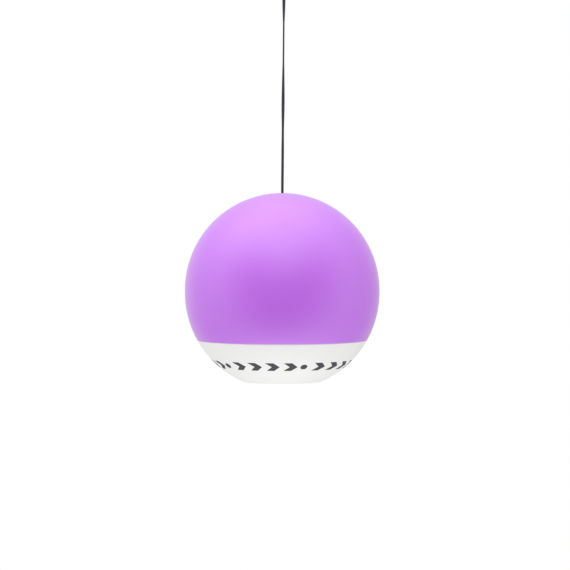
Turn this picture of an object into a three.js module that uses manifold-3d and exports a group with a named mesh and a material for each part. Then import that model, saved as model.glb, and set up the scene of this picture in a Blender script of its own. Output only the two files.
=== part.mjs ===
// Ball light that hangs from a hook or floats on water, in millimetres, +Z up.
// The origin is the hang point: the top of the inside of the hook's bow, where the part is held.
// A two-part plastic ball hangs under it on a short cord: a tinted globe, and a white base that
// unscrews and carries the battery, the control board, the ballast and the lamp.

import * as THREE from 'three';
import { mergeVertices } from 'three/addons/utils/BufferGeometryUtils.js';
import Module from 'manifold-3d';

const wasm = await Module();
wasm.setup();

// ---------------------------------------------------------------- driving dimensions

const GAP = 0.3; // clearance between two pieces that touch
const SLIDE = 0.4; // clearance round a piece that turns or slides in another
const SINK = 0.5; // depth that two joined shapes share
const CUT_PAST = 1; // length that a cut runs past each face

// ball
const BALL_DIAMETER = 200;
const EQUATOR_BAND = 2.2; // height of the straight band round the widest part
const GLOBE_WALL = 2.2;
const BASE_WALL = 2.4;
const SPLIT_BELOW_CENTRE = 50; // height of the joint between globe and base, below the ball's centre
const FLAT_ROUNDING = 2;
const CROWN_DROP = 232.7; // from the swivel ring's lower wire down to the top of the ball

// screwed neck
const NECK_DIAMETER = 124;
const NECK_WALL = 3;
const NECK_LENGTH = 17;
const SHOULDER_THICKNESS = 2.6;
const THREAD_STARTS = 4;
const THREAD_LEAD = 32;
const THREAD_HEIGHT = 2.4;
const THREAD_DEPTH = 2.2;
const THREAD_SPAN = THREE.MathUtils.degToRad(70);
const COLLAR_WALL = 2.6;
const SEAL_THICKNESS = 2.3;

// cord gland at the crown
const CORD_DIAMETER = 3.2;
const CORD_HOLE_CLEARANCE = 0.5;
const CROWN_ROOF = 6; // material left above the grommet
const GROMMET_DIAMETER = 12;
const GROMMET_HEIGHT = 5.2;
const BOSS_WALL = 4;
const GLAND_SHANK = 5.4;
const GLAND_HEAD_FLATS = 18;
const GLAND_HEAD_HEIGHT = 4.2;
const WASHER_DIAMETER = 14;
const WASHER_THICKNESS = 1;
const KNOT_DIAMETER = 9;
const KNOT_HEIGHT = 9;

// bottom of the base
const PLATE_DIAMETER = 67.2;
const PLATE_THICKNESS = 2.4;
const FLAT_RING_WIDTH = 5.8; // of the flat face round the plate, that the ball stands on
const PLATE_RECESS = 2.2; // from the flat up to the plate's outer face
const LEDGE_THICKNESS = 2.6;
const LEDGE_HOLE_DIAMETER = 48;
const PLATE_SCREWS = 4;
const PLATE_SCREW_CIRCLE = 57;
const PLATE_BOSS_DIAMETER = 6.4;
const PLATE_BOSS_HEIGHT = 2;

// button and charging port
const BUTTON_DIAMETER = 14;
const BUTTON_OFFSET = 11;
const BUTTON_PROUD = 1.5;
const BUTTON_FLANGE = 1.6;
const BUTTON_FLANGE_THICKNESS = 1;
const BUTTON_TRAVEL = 1.5;
const CHIP_SIDE = 7;
const CHIP_CORNER = 0.4;
const CHIP_HEIGHT = 1.1;
const CHIP_PLACE = [4, 14];
const COIL_DIAMETER = 7.2;
const COIL_HEIGHT = 2.4;
const COIL_PLACE = [-4, -14];
const SWITCH_SIDE = 6;
const SWITCH_HEIGHT = 0.9;
const PORT_OFFSET = 12;
const SOCKET_LENGTH = 9.2;
const SOCKET_WIDTH = 3.4;
const SOCKET_WALL = 0.4;
const SOCKET_FLOOR = 1;
const TONGUE_SHARE = 0.76; // of the socket's inner length
const TONGUE_RECESS = 0.8; // below the socket's mouth
const SOCKET_TONGUE = 0.7;
const SOCKET_RECESS = 1.1; // from the plate's outer face up to the socket's mouth
const PLUG_LENGTH = 14;
const PLUG_WIDTH = 11.2;
const PLUG_THICKNESS = 1.4;
const PLUG_BOSS_HEIGHT = 1;
const TETHER_LENGTH = 5;
const TETHER_WIDTH = 7;
const TETHER_PIN = 2.4;
const TETHER_BARB = 3.6;
const TETHER_BARB_HEIGHT = 0.8;

// electronics
const BOARD_DIAMETER = 62;
const BOARD_THICKNESS = 1.6;
const BALLAST_HEIGHT = 9.3;
const TRAY_THICKNESS = 2;
const TRAY_SCREWS = 3;
const TRAY_SCREW_INSET = 3.3; // from the ballast ring's bore out to the screws
const TRAY_MARGIN = 4; // from the screws out to the tray's edge
const TRAY_STOP_HEIGHT = 8;
const CELL_DIAMETER = 18.4;
const CELL_EDGE = 0.8;
const CELL_TIP = 6;
const CELL_LENGTH = 65;
const CELL_GAP = 3.6; // between the two cells, where the lamp's leads climb
const BRACKET_WIDTH = 26;
const BRACKET_THICKNESS = 1.8;
const BRACKET_FOOT = 6.6;

// lamp
const MAST_DIAMETER = 13;
const MAST_BORE = 9.2;
const MAST_HEIGHT = 33;
const MAST_FOOT_DIAMETER = 24;
const MAST_FOOT_THICKNESS = 1.8;
const LAMP_SEAT_DIAMETER = 60;
const LAMP_SEAT_THICKNESS = 1.7;
const LED_BOARD_DIAMETER = 44;
const LED_COUNT = 6;
const LED_CIRCLE = 28;
const LED_SIDE = 5;
const LED_HEIGHT = 1.4;
const LED_LENS = 3.6;
const LED_LENS_HEIGHT = 0.5;
const DIFFUSER_WALL = 1.5;
const LEAD_DIAMETER = 1.6;
const LEAD_SPACING = 4.4;

// screws
const SCREW_SHANK = 2.6;
const SCREW_HEAD = 5.2;
const SCREW_SLOT_WIDTH = 0.7;
const SCREW_SLOT_LENGTH = 3.33;
const SCREW_SLOT_DEPTH = 0.6;
const SCREW_SUNK = 0.1; // depth of the plate screws' heads below the plate's face
const TRAY_SCREW_BITE = 5; // depth of the screws in what they hold a piece to
const BRACKET_SCREW_BITE = 2;
const MAST_SCREW_BITE = 1.6;
const SCREW_HEAD_HEIGHT = 1;

// hook
const HOOK_WIRE = 3;
const HOOK_BOW_RADIUS = 9; // inside radius of the bow
const HOOK_DEPTH = 33.2; // from the hang point to the wire's lowest point
const BARREL_DIAMETER = 9.2;
const BARREL_HEIGHT = 6.8;
const BARREL_BELOW_WIRE = 3.8; // from the wire's lowest middle to the barrel's lower end
const SWIVEL_STEM = 3.8;
const SWIVEL_HEAD = 6.6;
const SWIVEL_CHAMFER = 0.6;
const SWIVEL_HEAD_HEIGHT = 1.4;
const SWIVEL_COLLAR = 7.2;
const SWIVEL_COLLAR_HEIGHT = 2.3;
const RING_WIRE = 2.8;
const RING_RADIUS = 5.6; // of the middle of the ring's wire
const RING_SINK = 1; // depth of the ring's top in the collar
const GATE_PIVOT_HEIGHT = 7.2; // above the wire's lowest point
const NOSE_LENGTH = 3.5; // straight end of the hook, beyond the bow
const GATE_LUG_DIAMETER = 6;
const GATE_CHEEK = 1;
const GATE_ROD = 2.8;
const GATE_PIN = 1.8;
const GATE_PIN_HEAD = 0.7;
const GATE_BRIDGE = 2.4; // height of the gate's root above its lugs
const GATE_SHOULDER = 0.5; // width of the gate's root beyond its rod, on each side

// crimp sleeve, round the two legs of the cord's eye
const CRIMP_DROP = 20.8; // from the swivel ring's lower wire down to the top of the crimp
const LEAST_FLAT = 0.01; // left between the round corners of the crimp's section
const CRIMP_LENGTH = 10;
const CRIMP_WALL = 1.1;
const LEG_OFFSET = 1.8; // from the cord's line to the middle of each leg

// The cord's middle line in the XZ plane, measured from the middle of the swivel ring's lower wire:
// up out of the globe, through the crimp, round the ring's wire and back down into the crimp.
const CORD_ROUTE = [
  [0, -255.4], [0.05, -244.8], [0.15, -232.8], [0.35, -210.8], [0.55, -186.8],
  [0.75, -162.8], [0.95, -138.8], [1.15, -114.8], [1.35, -90.8], [1.55, -66.8],
  [1.7, -46.8], [1.8, -32.8], [1.8, -25.8], [1.9, -20.8], [2.7, -16.3], [4.5, -11.8],
  [6.3, -7.8], [7, -3.7], [6.06, -0.2], [3.5, 2.36], [0, 3.3], [-3.5, 2.36],
  [-6.06, -0.2], [-7, -3.7], [-6.3, -7.8], [-4.5, -11.8], [-2.7, -16.3],
  [-1.9, -20.8], [-1.8, -25.8], [-1.8, -30.3],
];

// smoothness
const SHELL_SEGMENTS = 36;
const ROUND_SEGMENTS = 20;
const LAMP_SEGMENTS = 24;
const SMALL_SEGMENTS = 12;
const SCREW_SEGMENTS = 8;
const WIRE_SIDES = 8;
const CORD_STEPS = 56;

// ---------------------------------------------------------------- sizes that follow

const ballRadius = BALL_DIAMETER / 2;
const halfBand = EQUATOR_BAND / 2;
const crownZ = ballRadius + halfBand;
const globeLipZ = -SPLIT_BELOW_CENTRE + GAP / 2;
const baseLipZ = -SPLIT_BELOW_CENTRE - GAP / 2;
const openingRadius = PLATE_DIAMETER / 2 + GAP;
const flatRadius = openingRadius + FLAT_RING_WIDTH;
const roundingCentreZ = -halfBand - Math.sqrt((ballRadius - FLAT_ROUNDING) ** 2 - flatRadius ** 2);
const flatZ = roundingCentreZ - FLAT_ROUNDING;

const neckRadius = NECK_DIAMETER / 2;
const neckBore = neckRadius - NECK_WALL;
const neckEndZ = globeLipZ - NECK_LENGTH;
const collarBore = neckRadius + THREAD_DEPTH + SLIDE;
const collarRadius = collarBore + COLLAR_WALL;
const sealRadius = neckRadius + SLIDE + SEAL_THICKNESS / 2;
const sealZ = globeLipZ - GAP - SEAL_THICKNESS / 2;
const grooveRadius = sealRadius + SEAL_THICKNESS / 2 + SLIDE;
const collarTopZ = sealZ - SEAL_THICKNESS / 2 - GAP;
const collarEndZ = neckEndZ - GAP - BASE_WALL;
const neckRidgeZ = neckEndZ + GAP + THREAD_HEIGHT / 2;
const collarRidgeZ = neckRidgeZ + THREAD_HEIGHT + SLIDE;

const screwHole = SCREW_SHANK / 2 + GAP;
const cordRadius = CORD_DIAMETER / 2;
const passRadius = cordRadius + GAP;
const cordHoleRadius = cordRadius + CORD_HOLE_CLEARANCE;
const grommetRadius = GROMMET_DIAMETER / 2;
const bossBore = grommetRadius + GAP;
const bossRadius = bossBore + BOSS_WALL;
const grommetTopZ = crownZ - CROWN_ROOF - GAP;
const glandTopZ = grommetTopZ - GROMMET_HEIGHT - GAP;
const glandHeadZ = glandTopZ - GLAND_SHANK;
const bossEndZ = glandHeadZ + GAP;
const glandEndZ = glandHeadZ - GLAND_HEAD_HEIGHT;
const washerTopZ = glandEndZ - GAP;
const knotTopZ = washerTopZ - WASHER_THICKNESS - GAP;

const plateBottomZ = flatZ + PLATE_RECESS;
const plateTopZ = plateBottomZ + PLATE_THICKNESS;
const ledgeZ = plateTopZ + GAP;
const ledgeTopZ = ledgeZ + LEDGE_THICKNESS;
const plateBossTopZ = ledgeTopZ + PLATE_BOSS_HEIGHT;
const boardZ = plateBossTopZ + GAP;
const boardTopZ = boardZ + BOARD_THICKNESS;
const rimRadius = openingRadius + BASE_WALL;
const floorZ = flatZ + BASE_WALL;
const ballastZ = floorZ + GAP;
const ballastTopZ = ballastZ + BALLAST_HEIGHT;
const ballastBore = rimRadius + SLIDE;
const trayScrewRadius = ballastBore + TRAY_SCREW_INSET;
const trayZ = ballastTopZ + GAP;
const trayTopZ = trayZ + TRAY_THICKNESS;
const cellRadius = CELL_DIAMETER / 2;
const cellOffset = cellRadius + CELL_GAP / 2;
const cellZ = trayTopZ + GAP + cellRadius;
const bracketInnerZ = cellZ + cellRadius + SLIDE;
const bracketTopZ = bracketInnerZ + BRACKET_THICKNESS;
const mastZ = bracketTopZ + GAP;
const mastTopZ = mastZ + MAST_HEIGHT;
const ledBoardZ = mastTopZ + GAP;
const ledBoardTopZ = ledBoardZ + BOARD_THICKNESS;

const bowCentreZ = -HOOK_BOW_RADIUS;
const bowRadius = HOOK_BOW_RADIUS + HOOK_WIRE / 2;
const barrelZ = -HOOK_DEPTH - BARREL_BELOW_WIRE;
const barrelTopZ = barrelZ + BARREL_HEIGHT;
const gatePivotZ = GATE_PIVOT_HEIGHT - HOOK_DEPTH;
const collarLowZ = barrelZ - GAP - SWIVEL_COLLAR_HEIGHT;
const ringCentreZ = collarLowZ + RING_SINK - RING_WIRE / 2 - RING_RADIUS;
const ringWireZ = ringCentreZ - RING_RADIUS;

// ---------------------------------------------------------------- finishes

const finishes = {
  tintedGlobe: [0xcd8eea, 0.45, 0],
  whiteShell: [0xf2f1ee, 0.5, 0],
  whitePlastic: [0xe9e8e4, 0.55, 0],
  blackPlastic: [0x26282b, 0.55, 0],
  greyRubber: [0x5c5e63, 0.85, 0],
  cord: [0x4b4850, 0.8, 0],
  steel: [0xc3c6c9, 0.28, 1],
  castIron: [0x47494c, 0.7, 0.8],
  aluminium: [0xd0d3d6, 0.4, 1],
  boardGreen: [0x1f6b45, 0.5, 0],
  cellSleeve: [0x2f8fb8, 0.4, 0],
  ledYellow: [0xf3dc7a, 0.35, 0],
  frosted: [0xf4f6f8, 0.6, 0],
  redLead: [0xb3261e, 0.6, 0],
  blackLead: [0x222224, 0.6, 0],
};

// ---------------------------------------------------------------- helpers

/** A closed geometry as a solid that can be cut and joined. */
function solid(geometry) {
  const bare = geometry.clone();
  bare.deleteAttribute('normal');
  bare.deleteAttribute('uv');
  const merged = mergeVertices(bare, 1e-4);
  const corners = merged.index.array;
  const kept = [];
  for (let i = 0; i < corners.length; i += 3) {
    const [a, b, c] = corners.slice(i, i + 3);
    if (a !== b && b !== c && c !== a) {
      kept.push(a, b, c);
    }
  }
  const vertProperties = new Float32Array(merged.attributes.position.array);
  const triVerts = new Uint32Array(kept);
  return new wasm.Manifold(new wasm.Mesh({ numProp: 3, vertProperties, triVerts }));
}

/** A solid as a geometry for a mesh. */
function geometryOf(body) {
  const mesh = body.getMesh();
  const geometry = new THREE.BufferGeometry();
  geometry.setAttribute('position', new THREE.BufferAttribute(mesh.vertProperties, 3));
  geometry.setIndex(new THREE.BufferAttribute(mesh.triVerts, 1));
  return geometry;
}

/** Adds a piece to a group under its name, in its finish. */
function addPiece(group, name, body, finish) {
  const [color, roughness, metalness] = finishes[finish];
  const material = new THREE.MeshStandardMaterial({ color, roughness, metalness, flatShading: true });
  const mesh = new THREE.Mesh(geometryOf(body), material);
  mesh.name = name;
  group.add(mesh);
  return mesh;
}

/** A solid of revolution about Z from a closed outline of [radius, height] points. */
function turned(outline, segments = ROUND_SEGMENTS) {
  const points = outline.map(([r, z]) => new THREE.Vector2(r, z));
  if (THREE.ShapeUtils.area(points) < 0) {
    points.reverse();
  }
  points.push(points[0].clone());
  return solid(new THREE.LatheGeometry(points, segments).rotateX(Math.PI / 2));
}

/** A ring or tube about Z between two radii and two heights. */
function ring(inner, outer, low, high, segments = ROUND_SEGMENTS) {
  return turned([[inner, low], [outer, low], [outer, high], [inner, high]], segments);
}

/** A cylinder along Z at (x, y), between two heights. */
function post(radius, low, high, x = 0, y = 0, segments = ROUND_SEGMENTS) {
  const geometry = new THREE.CylinderGeometry(radius, radius, high - low, segments);
  return solid(geometry.rotateX(Math.PI / 2).translate(x, y, (low + high) / 2));
}

/** A body with a round hole along Z at (x, y), cut right through between two heights. */
function drilled(body, radius, low, high, x = 0, y = 0, segments = SCREW_SEGMENTS) {
  return body.subtract(post(radius, low - CUT_PAST, high + CUT_PAST, x, y, segments));
}

/** A box between two corners. */
function block([x0, y0, z0], [x1, y1, z1]) {
  const geometry = new THREE.BoxGeometry(x1 - x0, y1 - y0, z1 - z0);
  return solid(geometry.translate((x0 + x1) / 2, (y0 + y1) / 2, (z0 + z1) / 2));
}

/** A rectangle with round corners, centred at (x, y) and extruded between two heights. */
function slab(sizeX, sizeY, corner, low, high, x = 0, y = 0) {
  const [a, b] = [sizeX / 2 - corner, sizeY / 2 - corner];
  const shape = new THREE.Shape();
  shape.absarc(x + a, y + b, corner, 0, Math.PI / 2);
  shape.absarc(x - a, y + b, corner, Math.PI / 2, Math.PI);
  shape.absarc(x - a, y - b, corner, Math.PI, Math.PI * 1.5);
  shape.absarc(x + a, y - b, corner, Math.PI * 1.5, Math.PI * 2);
  const options = { depth: high - low, bevelEnabled: false, curveSegments: 3 };
  return solid(new THREE.ExtrudeGeometry(shape, options).translate(0, 0, low));
}

/** A round wire swept along a curve. */
function wire(curve, radius, steps, sides = WIRE_SIDES) {
  const section = new THREE.Shape();
  section.absarc(0, 0, radius, 0, Math.PI * 2);
  const options = { steps, bevelEnabled: false, extrudePath: curve, curveSegments: sides / 2 };
  return solid(new THREE.ExtrudeGeometry(section, options));
}

/** Points of an arc in an outline, angles in radians from the horizontal. */
function arc(centreR, centreZ, radius, from, to, steps) {
  const points = [];
  for (let i = 0; i <= steps; i++) {
    const angle = from + ((to - from) * i) / steps;
    points.push([centreR + radius * Math.cos(angle), centreZ + radius * Math.sin(angle)]);
  }
  return points;
}

/** Angle at which a ball surface, drawn in by a wall, stands at a height. */
function angleAt(z, wall) {
  const centre = Math.sign(z) * halfBand;
  return Math.asin((z - centre) / (ballRadius - wall));
}

/** Places spread evenly on a circle, as [x, y, angle]. */
function onCircle(count, radius, firstAngle = 0) {
  return Array.from({ length: count }, (_, i) => {
    const angle = firstAngle + (i * Math.PI * 2) / count;
    return [radius * Math.cos(angle), radius * Math.sin(angle), angle];
  });
}

/** One thread ridge: a bar bent round Z at a radius, rising along the lead from its middle height. */
function ridge(innerRadius, outerRadius, startAngle, startZ) {
  const bar = new THREE.BoxGeometry(THREAD_SPAN, outerRadius - innerRadius, THREAD_HEIGHT, 6, 1, 1);
  const place = bar.attributes.position;
  const middle = (innerRadius + outerRadius) / 2;
  for (let i = 0; i < place.count; i++) {
    const turn = place.getX(i) + THREAD_SPAN / 2;
    const r = middle - place.getY(i);
    const z = startZ + place.getZ(i) + (THREAD_LEAD * turn) / (Math.PI * 2);
    place.setXYZ(i, r * Math.cos(startAngle + turn), r * Math.sin(startAngle + turn), z);
  }
  return solid(bar);
}

/** A cross-head screw standing on its head's underside at height 0, shank down. */
function screw(shankLength) {
  const shank = post(SCREW_SHANK / 2, -shankLength, SINK / 5, 0, 0, SCREW_SEGMENTS);
  const head = post(SCREW_HEAD / 2, 0, SCREW_HEAD_HEIGHT, 0, 0, SMALL_SEGMENTS);
  const reach = SCREW_SLOT_LENGTH / 2;
  const half = SCREW_SLOT_WIDTH / 2;
  const [low, high] = [SCREW_HEAD_HEIGHT - SCREW_SLOT_DEPTH, SCREW_HEAD_HEIGHT + CUT_PAST];
  const along = block([-reach, -half, low], [reach, half, high]);
  const across = block([-half, -reach, low], [half, reach, high]);
  return head.add(shank).subtract(along).subtract(across);
}

// ---------------------------------------------------------------- globe and its cord gland

function globeShell() {
  const innerRadius = ballRadius - GLOBE_WALL;
  const shoulderTopZ = globeLipZ + SHOULDER_THICKNESS;
  const outline = [
    [neckBore, neckEndZ],
    [neckRadius, neckEndZ],
    [neckRadius, globeLipZ],
    ...arc(0, -halfBand, ballRadius, angleAt(globeLipZ, 0), 0, 4),
    ...arc(0, halfBand, ballRadius, 0, Math.acos(cordHoleRadius / ballRadius), 13),
    [cordHoleRadius, crownZ - CROWN_ROOF],
    [bossBore, crownZ - CROWN_ROOF],
    [bossBore, bossEndZ],
    [bossRadius, bossEndZ],
    ...arc(0, halfBand, innerRadius, Math.acos(bossRadius / innerRadius), 0, 10),
    ...arc(0, -halfBand, innerRadius, 0, angleAt(shoulderTopZ, GLOBE_WALL), 3),
    [neckBore, shoulderTopZ],
  ];
  let shell = turned(outline, SHELL_SEGMENTS);
  for (const [, , angle] of onCircle(THREAD_STARTS, neckRadius)) {
    const tip = neckRadius + THREAD_DEPTH;
    shell = shell.add(ridge(neckRadius - NECK_WALL / 2, tip, angle, neckRidgeZ));
  }
  return shell;
}

function glandNut() {
  const hexRadius = GLAND_HEAD_FLATS / Math.sqrt(3);
  const head = post(hexRadius, glandEndZ, glandHeadZ, 0, 0, 6);
  const shank = post(grommetRadius, glandHeadZ - SINK, glandTopZ);
  return drilled(head.add(shank), passRadius, glandEndZ, glandTopZ, 0, 0, SMALL_SEGMENTS);
}

function stopKnot() {
  const ball = new THREE.SphereGeometry(KNOT_DIAMETER / 2, 12, 8);
  ball.scale(1, KNOT_HEIGHT / KNOT_DIAMETER, 1);
  return solid(ball.rotateX(Math.PI / 2).translate(0, 0, knotTopZ - KNOT_HEIGHT / 2));
}

// ---------------------------------------------------------------- base

function baseShell() {
  const roundingAngle = Math.atan2(roundingCentreZ + halfBand, flatRadius);
  const innerTop = angleAt(collarTopZ, BASE_WALL);
  const outline = [
    [openingRadius, flatZ],
    ...arc(flatRadius, roundingCentreZ, FLAT_ROUNDING, -Math.PI / 2, roundingAngle, 3),
    ...arc(0, -halfBand, ballRadius, roundingAngle, angleAt(baseLipZ, 0), 6).slice(1),
    [grooveRadius, baseLipZ],
    [grooveRadius, collarTopZ],
    [collarBore, collarTopZ],
    [collarBore, collarEndZ],
    [collarRadius, collarEndZ],
    [collarRadius, collarTopZ],
    ...arc(0, -halfBand, ballRadius - BASE_WALL, innerTop, angleAt(floorZ, BASE_WALL), 5),
    [rimRadius, floorZ],
    [rimRadius, ledgeTopZ],
    [LEDGE_HOLE_DIAMETER / 2, ledgeTopZ],
    [LEDGE_HOLE_DIAMETER / 2, ledgeZ],
    [openingRadius, ledgeZ],
  ];
  let shell = turned(outline, SHELL_SEGMENTS);
  for (const [, , angle] of onCircle(THREAD_STARTS, neckRadius)) {
    const root = collarBore + COLLAR_WALL / 2;
    shell = shell.add(ridge(neckRadius + SLIDE, root, angle, collarRidgeZ));
  }
  for (const [x, y] of plateScrewPlaces()) {
    const boss = post(PLATE_BOSS_DIAMETER / 2, ledgeTopZ - SINK, plateBossTopZ, x, y, SMALL_SEGMENTS);
    shell = drilled(shell.add(boss), screwHole, ledgeZ, plateBossTopZ, x, y);
  }
  return shell;
}

function plateScrewPlaces() {
  return onCircle(PLATE_SCREWS, PLATE_SCREW_CIRCLE / 2, Math.PI / 4);
}

function bottomPlate() {
  let plate = post(PLATE_DIAMETER / 2, plateBottomZ, plateTopZ, 0, 0, SHELL_SEGMENTS);
  const buttonHole = BUTTON_DIAMETER / 2 + GAP;
  plate = drilled(plate, buttonHole, plateBottomZ, plateTopZ, -BUTTON_OFFSET, 0, ROUND_SEGMENTS);
  const portX = SOCKET_WIDTH + 2.5 * SLIDE;
  const portY = SOCKET_LENGTH + 2 * SLIDE;
  const low = plateBottomZ - CUT_PAST;
  plate = plate.subtract(slab(portX, portY, 1, low, plateTopZ + CUT_PAST, PORT_OFFSET));
  plate = drilled(plate, TETHER_PIN / 2 + GAP, plateBottomZ, plateTopZ, tetherPinX);
  const recessRadius = SCREW_HEAD / 2 + GAP;
  const recessTopZ = plateBottomZ + SCREW_HEAD_HEIGHT + GAP;
  for (const [x, y] of plateScrewPlaces()) {
    plate = plate.subtract(post(recessRadius, low, recessTopZ, x, y, SMALL_SEGMENTS));
    plate = drilled(plate, screwHole, plateBottomZ, plateTopZ, x, y);
  }
  return plate;
}

function powerButton() {
  const flangeZ = plateTopZ + GAP;
  const stemTopZ = boardZ - GAP - SWITCH_HEIGHT - GAP - BUTTON_TRAVEL;
  const outline = [
    [0, plateBottomZ - BUTTON_PROUD],
    [BUTTON_DIAMETER / 2 - 1, plateBottomZ - BUTTON_PROUD],
    [BUTTON_DIAMETER / 2, plateBottomZ - BUTTON_PROUD + 0.6],
    [BUTTON_DIAMETER / 2, flangeZ],
    [BUTTON_DIAMETER / 2 + BUTTON_FLANGE, flangeZ],
    [BUTTON_DIAMETER / 2 + BUTTON_FLANGE, flangeZ + BUTTON_FLANGE_THICKNESS],
    [SWITCH_SIDE / 2, flangeZ + BUTTON_FLANGE_THICKNESS],
    [SWITCH_SIDE / 2, stemTopZ],
    [0, stemTopZ],
  ];
  return turned(outline);
}

const plugTopZ = plateBottomZ - GAP;
const plugZ = plugTopZ - PLUG_THICKNESS;
const plugEndX = PORT_OFFSET + SOCKET_WIDTH * 2;
const hingeX = plugEndX + GAP;
const tetherX = hingeX + GAP;
const tetherPinX = tetherX + TETHER_LENGTH / 2 - 0.4;

function portPlug() {
  const cap = slab(PLUG_WIDTH, PLUG_LENGTH, 2, plugZ, plugTopZ, plugEndX - PLUG_WIDTH / 2);
  const bossTop = plugTopZ + PLUG_BOSS_HEIGHT;
  return cap.add(slab(SOCKET_WIDTH, SOCKET_LENGTH, 0.8, plugTopZ - SINK, bossTop, PORT_OFFSET));
}

function portTether() {
  const pad = slab(TETHER_LENGTH, TETHER_WIDTH, 1, plugZ, plugTopZ, tetherX + TETHER_LENGTH / 2);
  const barbZ = plateTopZ + GAP;
  const barbTopZ = barbZ + TETHER_BARB_HEIGHT;
  const pin = post(TETHER_PIN / 2, plugTopZ - SINK, barbZ + SINK, tetherPinX, 0, SCREW_SEGMENTS);
  const barb = post(TETHER_BARB / 2, barbZ, barbTopZ, tetherPinX, 0, SCREW_SEGMENTS);
  return pad.add(pin).add(barb);
}

// ---------------------------------------------------------------- electronics

function controlBoard() {
  let board = post(BOARD_DIAMETER / 2, boardZ, boardTopZ, 0, 0, LAMP_SEGMENTS);
  for (const [x, y] of plateScrewPlaces()) {
    board = drilled(board, screwHole, boardZ, boardTopZ, x, y);
  }
  return board;
}

function chargeSocket() {
  const mouthZ = plateBottomZ + SOCKET_RECESS;
  const backZ = boardZ - GAP;
  const innerX = SOCKET_WIDTH / 2 - SOCKET_WALL;
  const innerY = SOCKET_LENGTH / 2 - SOCKET_WALL;
  const corner = SOCKET_WIDTH / 2 - SINK;
  const innerCorner = innerX - SINK / 2;
  const floorZ = backZ - SOCKET_FLOOR;
  const shell = slab(SOCKET_WIDTH, SOCKET_LENGTH, corner, mouthZ, backZ, PORT_OFFSET);
  const low = mouthZ - CUT_PAST;
  const cavity = slab(innerX * 2, innerY * 2, innerCorner, low, floorZ, PORT_OFFSET);
  const halfTongue = SOCKET_TONGUE / 2;
  const tongue = block(
    [PORT_OFFSET - halfTongue, -innerY * TONGUE_SHARE, mouthZ + TONGUE_RECESS],
    [PORT_OFFSET + halfTongue, innerY * TONGUE_SHARE, floorZ + SINK],
  );
  return shell.subtract(cavity).add(tongue);
}

/** The chip that runs the light, on the underside of the control board. */
function controlChip() {
  const top = boardZ - GAP;
  return slab(CHIP_SIDE, CHIP_SIDE, CHIP_CORNER, top - CHIP_HEIGHT, top, ...CHIP_PLACE);
}

function chargeCoil() {
  const top = boardZ - GAP;
  return post(COIL_DIAMETER / 2, top - COIL_HEIGHT, top, ...COIL_PLACE, SMALL_SEGMENTS);
}

function ballastRing() {
  const clear = BASE_WALL + SINK;
  const outline = [
    [ballastBore, ballastZ],
    ...arc(0, -halfBand, ballRadius - clear, angleAt(ballastZ, clear), angleAt(ballastTopZ, clear), 4),
    [ballastBore, ballastTopZ],
  ];
  let weight = turned(outline, SHELL_SEGMENTS);
  for (const [x, y] of trayScrewPlaces()) {
    weight = drilled(weight, screwHole, ballastTopZ - TRAY_SCREW_BITE, ballastTopZ, x, y);
  }
  return weight;
}

function trayScrewPlaces() {
  return onCircle(TRAY_SCREWS, trayScrewRadius, Math.PI / 2);
}

const bracketFootY = cellOffset + cellRadius + SLIDE + BRACKET_THICKNESS + BRACKET_FOOT / 2;

function chassisTray() {
  let tray = post(trayScrewRadius + TRAY_MARGIN, trayZ, trayTopZ, 0, 0, SHELL_SEGMENTS);
  const stopX = CELL_LENGTH / 2 + 1.5;
  const stopY = cellOffset + 2;
  for (const side of [-1, 1]) {
    const [near, far] = [side * stopX, side * (stopX + 2)].sort((a, b) => a - b);
    tray = tray.add(block([near, -stopY, trayTopZ - SINK], [far, stopY, trayTopZ + TRAY_STOP_HEIGHT]));
    tray = drilled(tray, screwHole, trayZ, trayTopZ, 0, side * bracketFootY);
  }
  for (const [x, y] of trayScrewPlaces()) {
    tray = drilled(tray, screwHole, trayZ, trayTopZ, x, y);
  }
  return drilled(tray, MAST_BORE / 2, trayZ, trayTopZ, 0, 0, ROUND_SEGMENTS);
}

/** A cylindrical cell lying along X, with its button at the +X end. */
function batteryCell(y) {
  const half = CELL_LENGTH / 2;
  const outline = [
    [0, -half], [cellRadius - CELL_EDGE, -half], [cellRadius, -half + CELL_EDGE],
    [cellRadius, half - 2 * CELL_EDGE], [cellRadius - CELL_EDGE, half - CELL_EDGE],
    [CELL_TIP / 2, half - CELL_EDGE], [CELL_TIP / 2, half], [0, half],
  ];
  const mesh = turned(outline);
  const lying = new THREE.Matrix4().makeRotationY(Math.PI / 2).setPosition(0, y, cellZ);
  return solid(geometryOf(mesh).applyMatrix4(lying));
}

function batteryBracket() {
  const innerY = cellOffset + cellRadius + SLIDE;
  const outerY = innerY + BRACKET_THICKNESS;
  const footY = outerY + BRACKET_FOOT;
  const footZ = trayTopZ + GAP;
  const right = [
    [innerY, bracketInnerZ], [innerY, footZ], [footY, footZ],
    [footY, footZ + BRACKET_THICKNESS], [outerY, footZ + BRACKET_THICKNESS], [outerY, bracketTopZ],
  ];
  const left = right.map(([y, z]) => [-y, z]).reverse();
  const shape = new THREE.Shape([...right, ...left].map(([y, z]) => new THREE.Vector2(y, z)));
  const strip = new THREE.ExtrudeGeometry(shape, { depth: BRACKET_WIDTH, bevelEnabled: false });
  strip.translate(0, 0, -BRACKET_WIDTH / 2);
  strip.applyMatrix4(new THREE.Matrix4().set(0, 0, 1, 0, 1, 0, 0, 0, 0, 1, 0, 0, 0, 0, 0, 1));
  const footTopZ = footZ + BRACKET_THICKNESS;
  let bracket = solid(strip);
  bracket = drilled(bracket, MAST_BORE / 2, bracketInnerZ, bracketTopZ, 0, 0, ROUND_SEGMENTS);
  for (const side of [-1, 1]) {
    bracket = drilled(bracket, screwHole, footZ, footTopZ, 0, side * bracketFootY);
    bracket = drilled(bracket, screwHole, bracketInnerZ, bracketTopZ, side * mastScrewX);
  }
  return bracket;
}

// ---------------------------------------------------------------- lamp

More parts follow.
